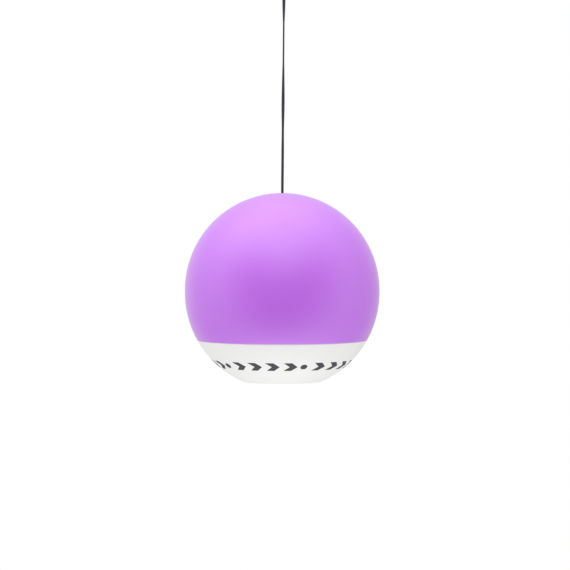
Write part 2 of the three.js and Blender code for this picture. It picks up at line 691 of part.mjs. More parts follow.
const mastScrewX = (MAST_DIAMETER / 2 + MAST_FOOT_DIAMETER / 2) / 2;

function ledMast() {
  const seatZ = mastTopZ - LAMP_SEAT_THICKNESS;
  const outline = [
    [MAST_BORE / 2, mastZ],
    [MAST_FOOT_DIAMETER / 2, mastZ],
    [MAST_FOOT_DIAMETER / 2, mastZ + MAST_FOOT_THICKNESS],
    [MAST_DIAMETER / 2, mastZ + MAST_FOOT_THICKNESS],
    [MAST_DIAMETER / 2, seatZ],
    [LAMP_SEAT_DIAMETER / 2, seatZ],
    [LAMP_SEAT_DIAMETER / 2, mastTopZ],
    [MAST_BORE / 2, mastTopZ],
  ];
  let mast = turned(outline, LAMP_SEGMENTS);
  const hole = SCREW_SHANK / 2 + GAP / 2;
  for (const side of [-1, 1]) {
    mast = drilled(mast, hole, mastZ, mastZ + MAST_FOOT_THICKNESS, side * mastScrewX);
  }
  return mast;
}

/** One lamp chip with its round lens, standing on the lamp board. */
function ledChip() {
  const half = LED_SIDE / 2;
  const low = ledBoardTopZ + GAP;
  const top = low + LED_HEIGHT;
  const lens = post(LED_LENS / 2, top - SINK, top + LED_LENS_HEIGHT, 0, 0, SMALL_SEGMENTS);
  return block([-half, -half, low], [half, half, top]).add(lens);
}

function lampDiffuser() {
  const outer = LAMP_SEAT_DIAMETER / 2;
  const low = mastTopZ + GAP;
  const outline = [
    ...arc(0, low, outer, 0, Math.PI / 2, 5),
    ...arc(0, low, outer - DIFFUSER_WALL, Math.PI / 2, 0, 5),
  ];
  return turned(outline, LAMP_SEGMENTS);
}

/** A lead that climbs from the control board, between the cells and up inside the mast. */
function lampLead(side) {
  const x = (side * LEAD_SPACING) / 2;
  const low = boardTopZ + SLIDE;
  const high = mastTopZ - SLIDE;
  const rise = high - low;
  const shares = [0, 0.12, 0.35, 0.6, 0.82, 1];
  const sways = [0, 0.3, -0.25, 0.35, -0.2, 0];
  const points = shares.map((share, i) => new THREE.Vector3(x, sways[i], low + rise * share));
  return wire(new THREE.CatmullRomCurve3(points), LEAD_DIAMETER / 2, 14, 6);
}

// ---------------------------------------------------------------- hook, swivel and crimp

/** A cylinder along X through (y, z) between two x values. */
function crossPost(radius, x0, x1, y, z, segments = SMALL_SEGMENTS) {
  const geometry = new THREE.CylinderGeometry(radius, radius, x1 - x0, segments);
  return solid(geometry.rotateZ(Math.PI / 2).translate((x0 + x1) / 2, y, z));
}

function hookBody() {
  const bow = arc(0, bowCentreZ, bowRadius, 0, Math.PI, 8);
  const route = [
    [bowRadius, bowCentreZ - NOSE_LENGTH],
    ...bow,
    [-bowRadius, bowCentreZ - bowRadius * 0.76],
    [-bowRadius, bowRadius - HOOK_DEPTH],
    [-bowRadius * 0.87, bowRadius * 0.5 - HOOK_DEPTH],
    [-bowRadius * 0.5, bowRadius * 0.13 - HOOK_DEPTH],
    [0, -HOOK_DEPTH],
    [bowRadius * 0.5, bowRadius * 0.11 - HOOK_DEPTH],
    [bowRadius * 0.86, bowRadius * 0.38 - HOOK_DEPTH],
    [bowRadius, gatePivotZ],
  ];
  const curve = new THREE.CatmullRomCurve3(route.map(([y, z]) => new THREE.Vector3(0, y, z)));
  const frame = wire(curve, HOOK_WIRE / 2, 40);
  const barrel = post(BARREL_DIAMETER / 2, barrelZ, barrelTopZ);
  const halfWire = HOOK_WIRE / 2;
  const lugRadius = GATE_LUG_DIAMETER / 2;
  const lug = crossPost(lugRadius, -halfWire, halfWire, bowRadius, gatePivotZ, ROUND_SEGMENTS);
  const pinHole = crossPost(GATE_PIN / 2 + GAP, -HOOK_WIRE, HOOK_WIRE, bowRadius, gatePivotZ);
  const body = frame.add(barrel).add(lug).subtract(pinHole);
  return drilled(body, SWIVEL_STEM / 2 + GAP, barrelZ, barrelTopZ, 0, 0, SMALL_SEGMENTS);
}

const cheekInnerX = HOOK_WIRE / 2 + GAP;
const cheekOuterX = cheekInnerX + GATE_CHEEK;

function hookGate() {
  const lugTop = gatePivotZ + GATE_LUG_DIAMETER / 2;
  const rodRadius = GATE_ROD / 2;
  const cheekRadius = GATE_LUG_DIAMETER / 2 - SINK / 2;
  const halfWidth = rodRadius + GATE_SHOULDER;
  const bridgeZ = lugTop + SLIDE;
  const bridgeTop = bridgeZ + GATE_BRIDGE;
  const tipZ = bowCentreZ - NOSE_LENGTH - SLIDE;
  let gate = post(rodRadius, bridgeTop - SINK, tipZ, 0, bowRadius, SMALL_SEGMENTS);
  gate = gate.add(block(
    [-cheekOuterX, bowRadius - halfWidth, bridgeZ],
    [cheekOuterX, bowRadius + halfWidth, bridgeTop],
  ));
  for (const side of [-1, 1]) {
    const [x0, x1] = side < 0 ? [-cheekOuterX, -cheekInnerX] : [cheekInnerX, cheekOuterX];
    gate = gate.add(crossPost(cheekRadius, x0, x1, bowRadius, gatePivotZ));
    gate = gate.add(block(
      [x0, bowRadius - halfWidth, gatePivotZ],
      [x1, bowRadius + halfWidth, bridgeZ + SINK],
    ));
  }
  const reach = cheekOuterX + CUT_PAST;
  return gate.subtract(crossPost(GATE_PIN / 2 + GAP, -reach, reach, bowRadius, gatePivotZ));
}

function gatePin() {
  const headLow = cheekOuterX + GAP;
  const headHigh = headLow + GATE_PIN_HEAD;
  const pin = crossPost(GATE_PIN / 2, -headLow - SINK, headLow + SINK, bowRadius, gatePivotZ);
  const left = crossPost(GATE_PIN, -headHigh, -headLow, bowRadius, gatePivotZ);
  const right = crossPost(GATE_PIN, headLow, headHigh, bowRadius, gatePivotZ);
  return pin.add(left).add(right);
}

function swivelEye() {
  const headZ = barrelTopZ + GAP;
  const outline = [
    [0, collarLowZ],
    [SWIVEL_COLLAR / 2, collarLowZ],
    [SWIVEL_COLLAR / 2, barrelZ - GAP],
    [SWIVEL_STEM / 2, barrelZ - GAP],
    [SWIVEL_STEM / 2, headZ],
    [SWIVEL_HEAD / 2, headZ],
    [SWIVEL_HEAD / 2 - SWIVEL_CHAMFER, headZ + SWIVEL_HEAD_HEIGHT],
    [0, headZ + SWIVEL_HEAD_HEIGHT],
  ];
  const torus = new THREE.TorusGeometry(RING_RADIUS, RING_WIRE / 2, 8, 20);
  const eye = solid(torus.rotateY(Math.PI / 2).translate(0, 0, ringCentreZ));
  return turned(outline).add(eye);
}

function cordCrimp() {
  const high = -CRIMP_DROP;
  const low = high - CRIMP_LENGTH;
  const holeX = 2 * (LEG_OFFSET + cordRadius + GAP);
  const holeY = 2 * (cordRadius + GAP);
  const outerX = holeX + 2 * CRIMP_WALL;
  const outerY = holeY + 2 * CRIMP_WALL;
  const sleeve = slab(outerX, outerY, outerY / 2 - LEAST_FLAT, low, high);
  const hole = slab(holeX, holeY, holeY / 2 - LEAST_FLAT, low - CUT_PAST, high + CUT_PAST);
  return sleeve.subtract(hole);
}

function hangingCord() {
  const points = CORD_ROUTE.map(([x, z]) => new THREE.Vector3(x, 0, z));
  return wire(new THREE.CatmullRomCurve3(points), cordRadius, CORD_STEPS);
}

// ---------------------------------------------------------------- assembly

const light = new THREE.Group();

addPiece(light, 'hook_body', hookBody(), 'steel');
addPiece(light, 'hook_gate', hookGate(), 'steel');
addPiece(light, 'gate_pin', gatePin(), 'steel');
addPiece(light, 'swivel_eye', swivelEye(), 'steel');

const hung = new THREE.Group();
hung.position.z = ringWireZ;
light.add(hung);

addPiece(hung, 'cord_crimp', cordCrimp(), 'aluminium');
addPiece(hung, 'hanging_cord', hangingCord(), 'cord');

const ball = new THREE.Group();
ball.position.z = -CROWN_DROP - crownZ;
hung.add(ball);

addPiece(ball, 'globe_shell', globeShell(), 'tintedGlobe');
const grommet = ring(passRadius, grommetRadius, glandTopZ + GAP, grommetTopZ);
addPiece(ball, 'crown_grommet', grommet, 'greyRubber');
addPiece(ball, 'gland_nut', glandNut(), 'whitePlastic');
const washer = ring(passRadius, WASHER_DIAMETER / 2, washerTopZ - WASHER_THICKNESS, washerTopZ);
addPiece(ball, 'stop_washer', washer, 'steel');
addPiece(ball, 'stop_knot', stopKnot(), 'cord');

const sealSection = arc(sealRadius, sealZ, SEAL_THICKNESS / 2, 0, Math.PI * 2, 6).slice(0, -1);
addPiece(ball, 'neck_seal', turned(sealSection, SHELL_SEGMENTS), 'greyRubber');

const base = new THREE.Group();
ball.add(base);

addPiece(base, 'base_shell', baseShell(), 'whiteShell');
addPiece(base, 'bottom_plate', bottomPlate(), 'whitePlastic');
plateScrewPlaces().forEach(([x, y], i) => {
  const seatZ = plateBottomZ + SCREW_HEAD_HEIGHT + SCREW_SUNK;
  const shank = boardZ - GAP - seatZ;
  const mesh = addPiece(base, `plate_screw_${i + 1}`, screw(shank), 'steel');
  mesh.rotation.x = Math.PI;
  mesh.position.set(x, y, seatZ);
});
const button = addPiece(base, 'power_button', powerButton(), 'greyRubber');
button.position.x = -BUTTON_OFFSET;
addPiece(base, 'port_plug', portPlug(), 'greyRubber');
addPiece(base, 'port_tether', portTether(), 'greyRubber');

addPiece(base, 'control_board', controlBoard(), 'boardGreen');
const switchHalf = SWITCH_SIDE / 2;
addPiece(
  base,
  'tact_switch',
  block(
    [-BUTTON_OFFSET - switchHalf, -switchHalf, boardZ - GAP - SWITCH_HEIGHT],
    [-BUTTON_OFFSET + switchHalf, switchHalf, boardZ - GAP],
  ),
  'blackPlastic',
);
addPiece(base, 'charge_socket', chargeSocket(), 'steel');
addPiece(base, 'control_chip', controlChip(), 'blackPlastic');
addPiece(base, 'charge_coil', chargeCoil(), 'blackPlastic');

addPiece(base, 'ballast_ring', ballastRing(), 'castIron');
addPiece(base, 'chassis_tray', chassisTray(), 'blackPlastic');
trayScrewPlaces().forEach(([x, y], i) => {
  const mesh = addPiece(base, `tray_screw_${i + 1}`, screw(TRAY_THICKNESS + TRAY_SCREW_BITE), 'steel');
  mesh.position.set(x, y, trayTopZ + GAP);
});
addPiece(base, 'battery_cell_1', batteryCell(-cellOffset), 'cellSleeve');
addPiece(base, 'battery_cell_2', batteryCell(cellOffset), 'cellSleeve');
addPiece(base, 'battery_bracket', batteryBracket(), 'aluminium');
[-1, 1].forEach((side, i) => {
  const footTop = trayTopZ + GAP + BRACKET_THICKNESS;
  const body = screw(BRACKET_THICKNESS + BRACKET_SCREW_BITE);
  const mesh = addPiece(base, `bracket_screw_${i + 1}`, body, 'steel');
  mesh.position.set(0, side * bracketFootY, footTop + GAP);
});

addPiece(base, 'led_mast', ledMast(), 'whitePlastic');
[-1, 1].forEach((side, i) => {
  const body = screw(MAST_FOOT_THICKNESS + MAST_SCREW_BITE);
  const mesh = addPiece(base, `mast_screw_${i + 1}`, body, 'steel');
  mesh.position.set(side * mastScrewX, 0, mastZ + MAST_FOOT_THICKNESS + GAP);
});
const lampBoard = post(LED_BOARD_DIAMETER / 2, ledBoardZ, ledBoardTopZ, 0, 0, LAMP_SEGMENTS);
addPiece(base, 'led_board', lampBoard, 'aluminium');
onCircle(LED_COUNT, LED_CIRCLE / 2).forEach(([x, y, angle], i) => {
  const mesh = addPiece(base, `led_chip_${i + 1}`, ledChip(), 'ledYellow');
  mesh.rotation.z = angle;
  mesh.position.set(x, y, 0);
});
addPiece(base, 'led_diffuser', lampDiffuser(), 'frosted');
addPiece(base, 'lamp_lead_red', lampLead(1), 'redLead');
addPiece(base, 'lamp_lead_black', lampLead(-1), 'blackLead');

export default light;
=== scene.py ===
# %% [markdown]
# # A hanging ball light
# The object is a 200 mm ball that hangs on a cord. The upper part is a purple globe, and a white
# base screws into its mouth. The base carries the batteries and the lamp. A snap hook at the top
# of the cord holds it all up.
#
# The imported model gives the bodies, the joints and the plain shapes. This script gives each piece
# its fine shape and its finish. Measures below are in millimetres, and become metres in one place.

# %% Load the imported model
import math

import bmesh
import bpy
import numpy as np
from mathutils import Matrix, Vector


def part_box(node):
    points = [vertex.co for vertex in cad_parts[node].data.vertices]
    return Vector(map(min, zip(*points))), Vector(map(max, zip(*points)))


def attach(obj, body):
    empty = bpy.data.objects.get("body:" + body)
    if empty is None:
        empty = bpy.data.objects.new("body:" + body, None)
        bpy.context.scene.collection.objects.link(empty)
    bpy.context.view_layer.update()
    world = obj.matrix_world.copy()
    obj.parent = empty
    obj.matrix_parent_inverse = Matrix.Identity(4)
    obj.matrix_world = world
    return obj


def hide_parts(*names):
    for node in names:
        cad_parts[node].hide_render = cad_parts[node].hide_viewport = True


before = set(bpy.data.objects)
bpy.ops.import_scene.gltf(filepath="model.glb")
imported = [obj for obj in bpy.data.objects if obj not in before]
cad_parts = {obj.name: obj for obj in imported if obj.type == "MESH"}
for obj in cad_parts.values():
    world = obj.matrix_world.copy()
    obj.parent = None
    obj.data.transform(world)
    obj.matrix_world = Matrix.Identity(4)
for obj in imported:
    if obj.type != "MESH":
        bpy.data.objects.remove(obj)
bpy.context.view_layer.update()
MM = 0.001

# %% [markdown]
# ## Where things are
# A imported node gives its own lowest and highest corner, so no height is guessed. The ball's centre
# is worked out from the flat under the base. Heights on the ball are written from its centre, which
# is how a ball is drawn on paper.

# %% Read the main measures
def corners(node):
    """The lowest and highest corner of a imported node, in millimetres."""
    low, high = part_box(node)
    return np.array(low) / MM, np.array(high) / MM


def middle_of(node):
    """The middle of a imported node's box, in millimetres."""
    return sum(corners(node)) / 2


FLAT = 92.7  # from the ball's centre down to its flat
BALL_Z = corners("base_shell")[0][2] + FLAT
BALL = round(corners("globe_shell")[1][0], 1)
BAND = 1.1  # half the straight band at the ball's widest place
SPLIT = -50.0  # height of the joint between globe and base
EDGE = BALL * 0.8735 - 0.25  # radius of the two edges that meet there
print("ball radius", BALL, "centre height", round(BALL_Z, 2))

# %% [markdown]
# ## Camera
# A long lens from five metres away keeps the ball nearly free of perspective, and the camera stands
# a little above the ball's centre, so the flat underneath stays hidden.

# %% Place the camera
DISTANCE = 5.0  # the camera's measures are in metres, from the ball's centre
ASIDE = 0.0029
RISE = 0.225
AIM_RISE = 0.0066
camera = bpy.data.objects.new("camera", bpy.data.cameras.new("camera"))
bpy.context.collection.objects.link(camera)
camera.location = (ASIDE, -DISTANCE, BALL_Z * MM + RISE)
aim = Vector((ASIDE, 0, BALL_Z * MM + AIM_RISE))
camera.rotation_euler = (aim - camera.location).to_track_quat("-Z", "Y").to_euler()
camera.data.lens = 307.7
camera.data.clip_end = 100
bpy.context.scene.camera = camera
bpy.context.scene.view_settings.view_transform = "Standard"
print("camera tilt", round(math.degrees(camera.rotation_euler.x) - 90, 2), "degrees")

# %% [markdown]
# ## Making a surface
# Nearly every piece here is a section carried along a path. A globe is its half outline carried
# round an axis, a wire is a small circle carried along a curve. One helper therefore turns rings of
# points into faces. Poles and seams are closed by merging the points that lie together.

# %% Rings to faces
def skin(rings, joined=False):
    """Faces between neighbouring rings of points, as (points, faces).

    rings[i, j] is point j of ring i. Each ring closes on itself. If joined, the last ring meets the
    first; if not, each end is closed with one flat face.
    """
    rings = np.asarray(rings, dtype=float)
    count, around = rings.shape[:2]
    start = np.arange(count if joined else count - 1)[:, None]
    after = (start + 1) % count
    side = np.arange(around)[None, :]
    beside = (side + 1) % around
    quads = np.stack([start * around + side, start * around + beside,
                      after * around + beside, after * around + side], axis=-1)
    faces = quads.reshape(-1, 4).tolist()
    if not joined:
        faces.append(list(range(around))[::-1])
        faces.append(list(range((count - 1) * around, count * around)))
    return rings.reshape(-1, 3), faces


def piece(name, *parts, height=0.0, sharp=40):
    """One object from several (points, faces) parts in millimetres, raised by a height."""
    points, faces, first = [], [], 0
    for part_points, part_faces in parts:
        points.append(part_points)
        faces += [[first + corner for corner in face] for face in part_faces]
        first += len(part_points)
    places = (np.vstack(points) + (0, 0, height)) * MM
    mesh = bpy.data.meshes.new(name)
    mesh.from_pydata(places.tolist(), [], faces)
    work = bmesh.new()
    work.from_mesh(mesh)
    bmesh.ops.remove_doubles(work, verts=work.verts, dist=2e-6)
    bmesh.ops.recalc_face_normals(work, faces=work.faces)
    work.to_mesh(mesh)
    work.free()
    mesh.shade_smooth()
    mesh.set_sharp_from_angle(angle=math.radians(sharp))
    made = bpy.data.objects.new(name, mesh)
    bpy.context.collection.objects.link(made)
    print(name, len(mesh.polygons), "faces")
    return made


pieces = {}


def settle(made, body, slot, *nodes):
    """Lets a finished object ride a body, in a material slot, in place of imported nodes."""
    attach(made, body)
    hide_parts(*nodes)
    pieces.setdefault(slot, []).append(made)
    return made


def refine(node, body, slot, *parts, height=0.0, sharp=40):
    """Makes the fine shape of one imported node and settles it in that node's place."""
    return settle(piece(node + "_fine", *parts, height=height, sharp=sharp), body, slot, node)

# %% [markdown]
# ## Outlines
# A turned piece starts as a flat outline of radius and height. Real edges are never quite sharp, so
# a small curve replaces each corner. The same idea serves flat pieces, whose outline is a closed
# loop with holes in it.

# %% Arcs and eased corners
def arc(centre, radius, start, end, steps):
    """Points of an arc: centre + radius (cos a, sin a), with a in degrees from start to end."""
    angle = np.radians(np.linspace(start, end, steps + 1))[:, None]
    return np.array(centre) + radius * np.hstack([np.cos(angle), np.sin(angle)])


def full_turn(count):
    """Evenly spaced angles round one turn, in radians."""
    return np.linspace(0, 2 * np.pi, count, endpoint=False)


def eased(outline, radius, steps=3):
    """A closed outline whose corners give way to small curves.

    Around a corner C the curve runs from A to B, which lie one radius away along the two sides:
    (1-t)^2 A + 2t(1-t) C + t^2 B.
    """
    outline = np.array(outline, dtype=float)

    def away(neighbour):
        side = neighbour - outline
        length = np.linalg.norm(side, axis=1, keepdims=True)
        return outline + side * np.minimum(radius / length, 0.45)

    before = away(np.roll(outline, 1, axis=0))[:, None]
    after = away(np.roll(outline, -1, axis=0))[:, None]
    t = np.linspace(0, 1, steps + 1)[None, :, None]
    curve = (1 - t) ** 2 * before + 2 * t * (1 - t) * outline[:, None] + t ** 2 * after
    return curve.reshape(-1, 2)


def turned(outline, segments, centre=(0, 0), relief=None):
    """An outline of (radius, height) carried round Z: x = r cos a, y = r sin a, z = height.

    relief takes the grids of angle, radius and height and gives the changed radius and height.
    """
    angle = full_turn(segments)[:, None]
    outline = np.asarray(outline, dtype=float)
    radius = outline[None, :, 0] + 0 * angle
    height = outline[None, :, 1] + 0 * angle
    if relief:
        radius, height = relief(angle, radius, height)
    x = centre[0] + radius * np.cos(angle)
    y = centre[1] + radius * np.sin(angle)
    return skin(np.stack([x, y, height], axis=-1), joined=True)


def laid(part, place):
    """A part turned from the Z axis onto the X axis, then moved to a place."""
    points, faces = part
    return points[:, [2, 0, 1]] + place, faces

# %% [markdown]
# ## Cord
# The cord is a soft braid of two flattened strands, 3.2 mm wide and about 1.8 mm thick, which
# turns slowly along its length. It comes out of a bare hole in the crown, goes up to the ring of
# the hook's swivel, passes round it and comes back down into a crimped sleeve. The load keeps it
# taut, so its length is simply the length of this route.
#
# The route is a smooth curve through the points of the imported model. It is measured along its
# length and cut into short equal steps, so that the twist and the plait stay even.

# %% Route of the cord
EYE_Z = -51.2  # middle of the ring's lower wire, where the cord hangs
CORD_ROUTE = np.array([
    [0, -255.4], [0.05, -244.8], [0.15, -232.8], [0.35, -210.8], [0.55, -186.8],
    [0.75, -162.8], [0.95, -138.8], [1.15, -114.8], [1.35, -90.8], [1.55, -66.8],
    [1.7, -46.8], [1.8, -32.8], [1.8, -25.8], [1.9, -20.8], [2.7, -16.3], [4.5, -11.8],
    [6.3, -7.8], [7, -3.7], [6.06, -0.2], [3.5, 2.36], [0, 3.3], [-3.5, 2.36],
    [-6.06, -0.2], [-7, -3.7], [-6.3, -7.8], [-4.5, -11.8], [-2.7, -16.3],
    [-1.9, -20.8], [-1.8, -25.8], [-1.8, -30.3],
])


def unit(vectors):
    """The same directions, each with the length one."""
    return vectors / np.linalg.norm(vectors, axis=-1, keepdims=True)


def run_along(points):
    """The distance of each point from the first one, along the line that they make."""
    return np.concatenate([[0], np.cumsum(np.linalg.norm(np.diff(points, axis=0), axis=1))])


def across(path, normal):
    """Two directions across a path in a plane: the plane's normal, and the one beside it."""
    normal = np.tile(normal, (len(path), 1))
    return normal, np.cross(normal, unit(np.gradient(path, axis=0)))


def tube(path, first, second, radius, sides):
    """A round section at each point p of a path: p + radius (first cos a + second sin a)."""
    angle = full_turn(sides)[None, :, None]
    section = np.cos(angle) * first[:, None] + np.sin(angle) * second[:, None]
    return path[:, None] + radius * section


def smooth_route(points, step):
    """A curve through points, resampled at an even step.

    Between two points it is a cubic whose end slopes come from the neighbours on each side, with
    the square root of each gap as its share of the parameter, so long and short gaps may mix.
    """
    gap = np.sqrt(np.linalg.norm(np.diff(points, axis=0), axis=1))[:, None]
    speed = np.diff(points, axis=0) / gap
    middle = speed[:-1] + speed[1:] - (points[2:] - points[:-2]) / (gap[:-1] + gap[1:])
    slope = np.vstack([speed[:1], middle, speed[-1:]])
    t = np.linspace(0, 1, 24, endpoint=False)[None, :, None]
    first, last = points[:-1, None], points[1:, None]
    leave, arrive = (slope[:-1] * gap)[:, None], (slope[1:] * gap)[:, None]
    curve = ((2 * t ** 3 - 3 * t ** 2 + 1) * first + (t ** 3 - 2 * t ** 2 + t) * leave
             + (3 * t ** 2 - 2 * t ** 3) * last + (t ** 3 - t ** 2) * arrive)
    curve = np.vstack([curve.reshape(-1, points.shape[1]), points[-1:]])
    along = run_along(curve)
    even = np.linspace(0, along[-1], int(along[-1] / step) + 1)
    return np.stack([np.interp(even, along, column) for column in curve.T], axis=-1), even


route = np.insert(CORD_ROUTE, 1, 0, axis=1) + (0, 0, EYE_Z)
cord_path, cord_run = smooth_route(route, 0.4)

# %% Shape of the cord
CORD_WIDTH = 3.2
CORD_THICKNESS = 1.8
PLAIT_PITCH = 2.6
GROOVE = 0.14  # how deep the groove is, as a share of the thickness


def braid(path, run, twist):
    """A two-strand braid carried along a path.

    The section is an oval with a groove along the middle of each flat side. It turns by the twist,
    and a low wave at two angles around it stands for the crossing yarns.
    """
    normal, beside = across(path, (0.0, 1.0, 0.0))
    round_angle = full_turn(28)[None, :]
    groove = 1 - GROOVE * np.abs(np.sin(round_angle)) ** 6
    weave = np.sin(2 * np.pi * run[:, None] / PLAIT_PITCH + 3 * round_angle)
    weave = weave * np.sin(2 * np.pi * run[:, None] / PLAIT_PITCH - 3 * round_angle)
    wide = CORD_WIDTH / 2 * np.cos(round_angle) * (1 + 0.025 * weave)
    thick = CORD_THICKNESS / 2 * np.sin(round_angle) * groove * (1 + 0.03 * weave)
    turn = np.radians(twist)[:, None]
    side = (wide * np.cos(turn) - thick * np.sin(turn))[..., None]
    out = (wide * np.sin(turn) + thick * np.cos(turn))[..., None]
    return path[:, None] + side * beside[:, None] + out * normal[:, None]


# The cord's turn in degrees at a few heights.
twist_heights = [-310, -275, -241, -219, -191, -148, -136, -110, -84, -60]
twist_degrees = [50, 38, 38, 55, 7, 80, 82, 80, 0, 0]
cord_twist = np.interp(cord_path[:, 2], twist_heights, twist_degrees)
cord = piece("cord", skin(braid(cord_path, cord_run, cord_twist)), sharp=80)
cord.visible_glossy = False  # no dark streak of it in the satin crown
settle(cord, "ball", "cord", "hanging_cord")

# %% [markdown]
# Under the crown the cord ends in a thick knot that can't pull through the washer. A trefoil is
# the simplest knot that closes on itself, and it looks the same after each third of a turn.

# %% Knot under the crown
def trefoil(height, size, radius, steps=220, sides=20):
    """A tube round x = sin t + 2 sin 2t, y = cos t - 2 cos 2t, z = -sin 3t, scaled by size."""
    t = full_turn(steps)
    path = np.stack([np.sin(t) + 2 * np.sin(2 * t), np.cos(t) - 2 * np.cos(2 * t),
                     -1.9 * np.sin(3 * t)], axis=-1) * size + (0, 0, height)
    along = unit(np.roll(path, -1, axis=0) - np.roll(path, 1, axis=0))
    outward = unit(np.cross(along, np.cross(path - (0, 0, height), along)))
    return tube(path, outward, np.cross(along, outward), radius, sides)


KNOT_Z = 74.7  # the knot's middle, above the ball's centre
knot = refine("stop_knot", "ball", "cord", skin(trefoil(KNOT_Z, 0.98, 1.5), joined=True),
              height=BALL_Z)

# %% [markdown]
# The crimp is a drawn aluminium sleeve with two bores side by side. A tool presses three bands
# into it, and those bands hold the two legs of the cord.

# %% Crimp
def oval(half_x, half_y, count=48):
    """A loop round an oval with straight sides: a circle of half_y, pulled apart along X."""
    angle = full_turn(count)
    pull = np.tanh(6 * np.cos(angle)) * (half_x - half_y)
    return np.stack([half_y * np.cos(angle) + pull, half_y * np.sin(angle)], axis=-1)


crimp_low, crimp_high = corners("cord_crimp")
crimp_size = (crimp_high - crimp_low) / 2


def crimp_sleeve():
    """An oval carried up outside and back down inside, narrower in three pressed bands."""
    share = np.linspace(0, 1, 61)
    height = crimp_low[2] + share * (crimp_high[2] - crimp_low[2])
    press = 0.55 * np.exp(-((share[:, None] - np.array([0.2, 0.5, 0.8])) / 0.055) ** 4).sum(axis=1)
    edge = 0.35 * np.maximum(0, 1 - np.minimum(share, 1 - share) / 0.04)
    loops = []
    for level, sink in zip(height, press + edge):
        outer = oval(crimp_size[0] - sink * 0.6, crimp_size[1] - sink)
        loops.append(np.insert(outer, 2, level, axis=1))
    inner = oval(3.7, 1.9)
    loops.append(np.insert(inner, 2, height[-1], axis=1))
    loops.append(np.insert(inner, 2, height[0], axis=1))
    return skin(loops, joined=True)


crimp = piece("crimp_fine", crimp_sleeve())
settle(crimp, "ball", "aluminium", "cord_crimp")

# %% [markdown]
# ## Globe and its neck
# The globe is a moulded shell 2.2 mm thick. Its outline goes down the outside from the hole in the
# crown, in at the joint, down the neck, and back up the inside to the boss that holds the cord's
# gland. Carrying that outline round the axis gives the whole shell with both its walls.
#
# The neck has four thread ridges, each 70 degrees long. A ridge is no separate piece: it is a
# place where the neck's radius grows, and that place climbs as the angle turns.

# %% Thread ridges
THREAD_LEAD = 32.0
THREAD_SPAN = 70.0  # degrees that one ridge covers
THREAD_PITCH = 90.0  # degrees from one ridge to the next
THREAD_DEPTH = 2.2


def ridge_height(angle, height, start_z):
    """How far each point lies inside a ridge, from 0 beside it to 1 on its crest.

    The ridge's middle is at start_z + lead * turn / 360 and it is flat-topped with sloping sides;
    it fades in and out at its two ends.
    """
    turn = np.degrees(angle) % THREAD_PITCH
    middle = start_z + THREAD_LEAD * turn / 360
    flank = np.clip((1.35 - np.abs(height - middle)) / 0.55, 0, 1)
    ends = np.clip(turn / 3, 0, 1) * np.clip((THREAD_SPAN - turn) / 3, 0, 1)
    return flank * ends


def elevation(height, radius, centre):
    """Angle, in degrees, at which a circle about a centre height passes a height."""
    return math.degrees(math.asin((height - centre) / radius))


# %% Globe shell
GLOBE_WALL = 2.2
NECK_RADIUS = 62.0
NECK_BORE = 59.0
NECK_END = -66.85
NECK_RIDGE_Z = -65.35
CORD_HOLE = 2.1


def neck_relief(angle, radius, height):
    """Adds the ridges to the outside of the neck."""
    on_neck = (abs(radius - NECK_RADIUS) < 0.01) & (height < SPLIT - 1)
    ridges = THREAD_DEPTH * ridge_height(angle, height, NECK_RIDGE_Z)
    return radius + np.where(on_neck, ridges, 0), height


def globe_outline():
    """Down the outside, round the neck, and back up the inside to the boss."""
    joint = SPLIT + 0.04
    joint_angle = elevation(joint + 0.15, BALL, -BAND)
    crown = BAND + BALL
    shoulder = joint + 2.6
    inside = BALL - GLOBE_WALL
    boss = 10.3
    boss_angle = math.degrees(math.acos(boss / inside))
    neck_rows = np.linspace(joint - 1.2, NECK_END + 0.5, 44)
    return np.vstack([
        [[CORD_HOLE, crown - 1.0], [CORD_HOLE + 0.08, crown - 0.4],
         [CORD_HOLE + 0.3, crown - 0.12]],
        arc((0, BAND), BALL, math.degrees(math.acos(2.5 / BALL)), 0, 130),
        arc((0, -BAND), BALL, 0, joint_angle, 40),
        [[EDGE, joint], [NECK_RADIUS + 0.4, joint], [NECK_RADIUS, joint - 0.4]],
        np.stack([np.full(44, NECK_RADIUS), neck_rows], axis=-1),
        [[NECK_RADIUS - 0.5, NECK_END], [NECK_BORE + 0.5, NECK_END], [NECK_BORE, NECK_END + 0.5]],
        [[NECK_BORE, shoulder - 0.5], [NECK_BORE + 0.5, shoulder]],
        arc((0, -BAND), inside, elevation(shoulder, inside, -BAND), 0, 24),
        arc((0, BAND), inside, 0, boss_angle, 60),
        [[boss, 84.7], [boss - 0.5, 84.2], [6.8, 84.2], [6.3, 84.7], [6.3, 95.1],
         [CORD_HOLE, 95.1]],
    ])


globe = piece("globe_fine", turned(globe_outline(), 300, relief=neck_relief), height=BALL_Z)
settle(globe, "ball", "tinted_globe", "globe_shell")

# %% [markdown]
# ## Base
# The white base is the lower cap of the same ball. Its flat ring lets the ball stand on a table,
# and the recess inside that ring keeps the plate, the button and the port plug clear of it. A
# collar inside carries the matching thread, and a ledge holds the plate and the ballast.

# %% Base shell
BASE_WALL = 2.4
COLLAR_BORE = 64.6
COLLAR_RIDGE_Z = -62.55
OPENING = 33.9


def collar_relief(angle, radius, height):
    """Takes the ridges inwards from the collar's bore."""
    on_bore = (abs(radius - COLLAR_BORE) < 0.01) & (height < -53)
    ridges = THREAD_DEPTH * ridge_height(angle, height, COLLAR_RIDGE_Z)
    return radius - np.where(on_bore, ridges, 0), height


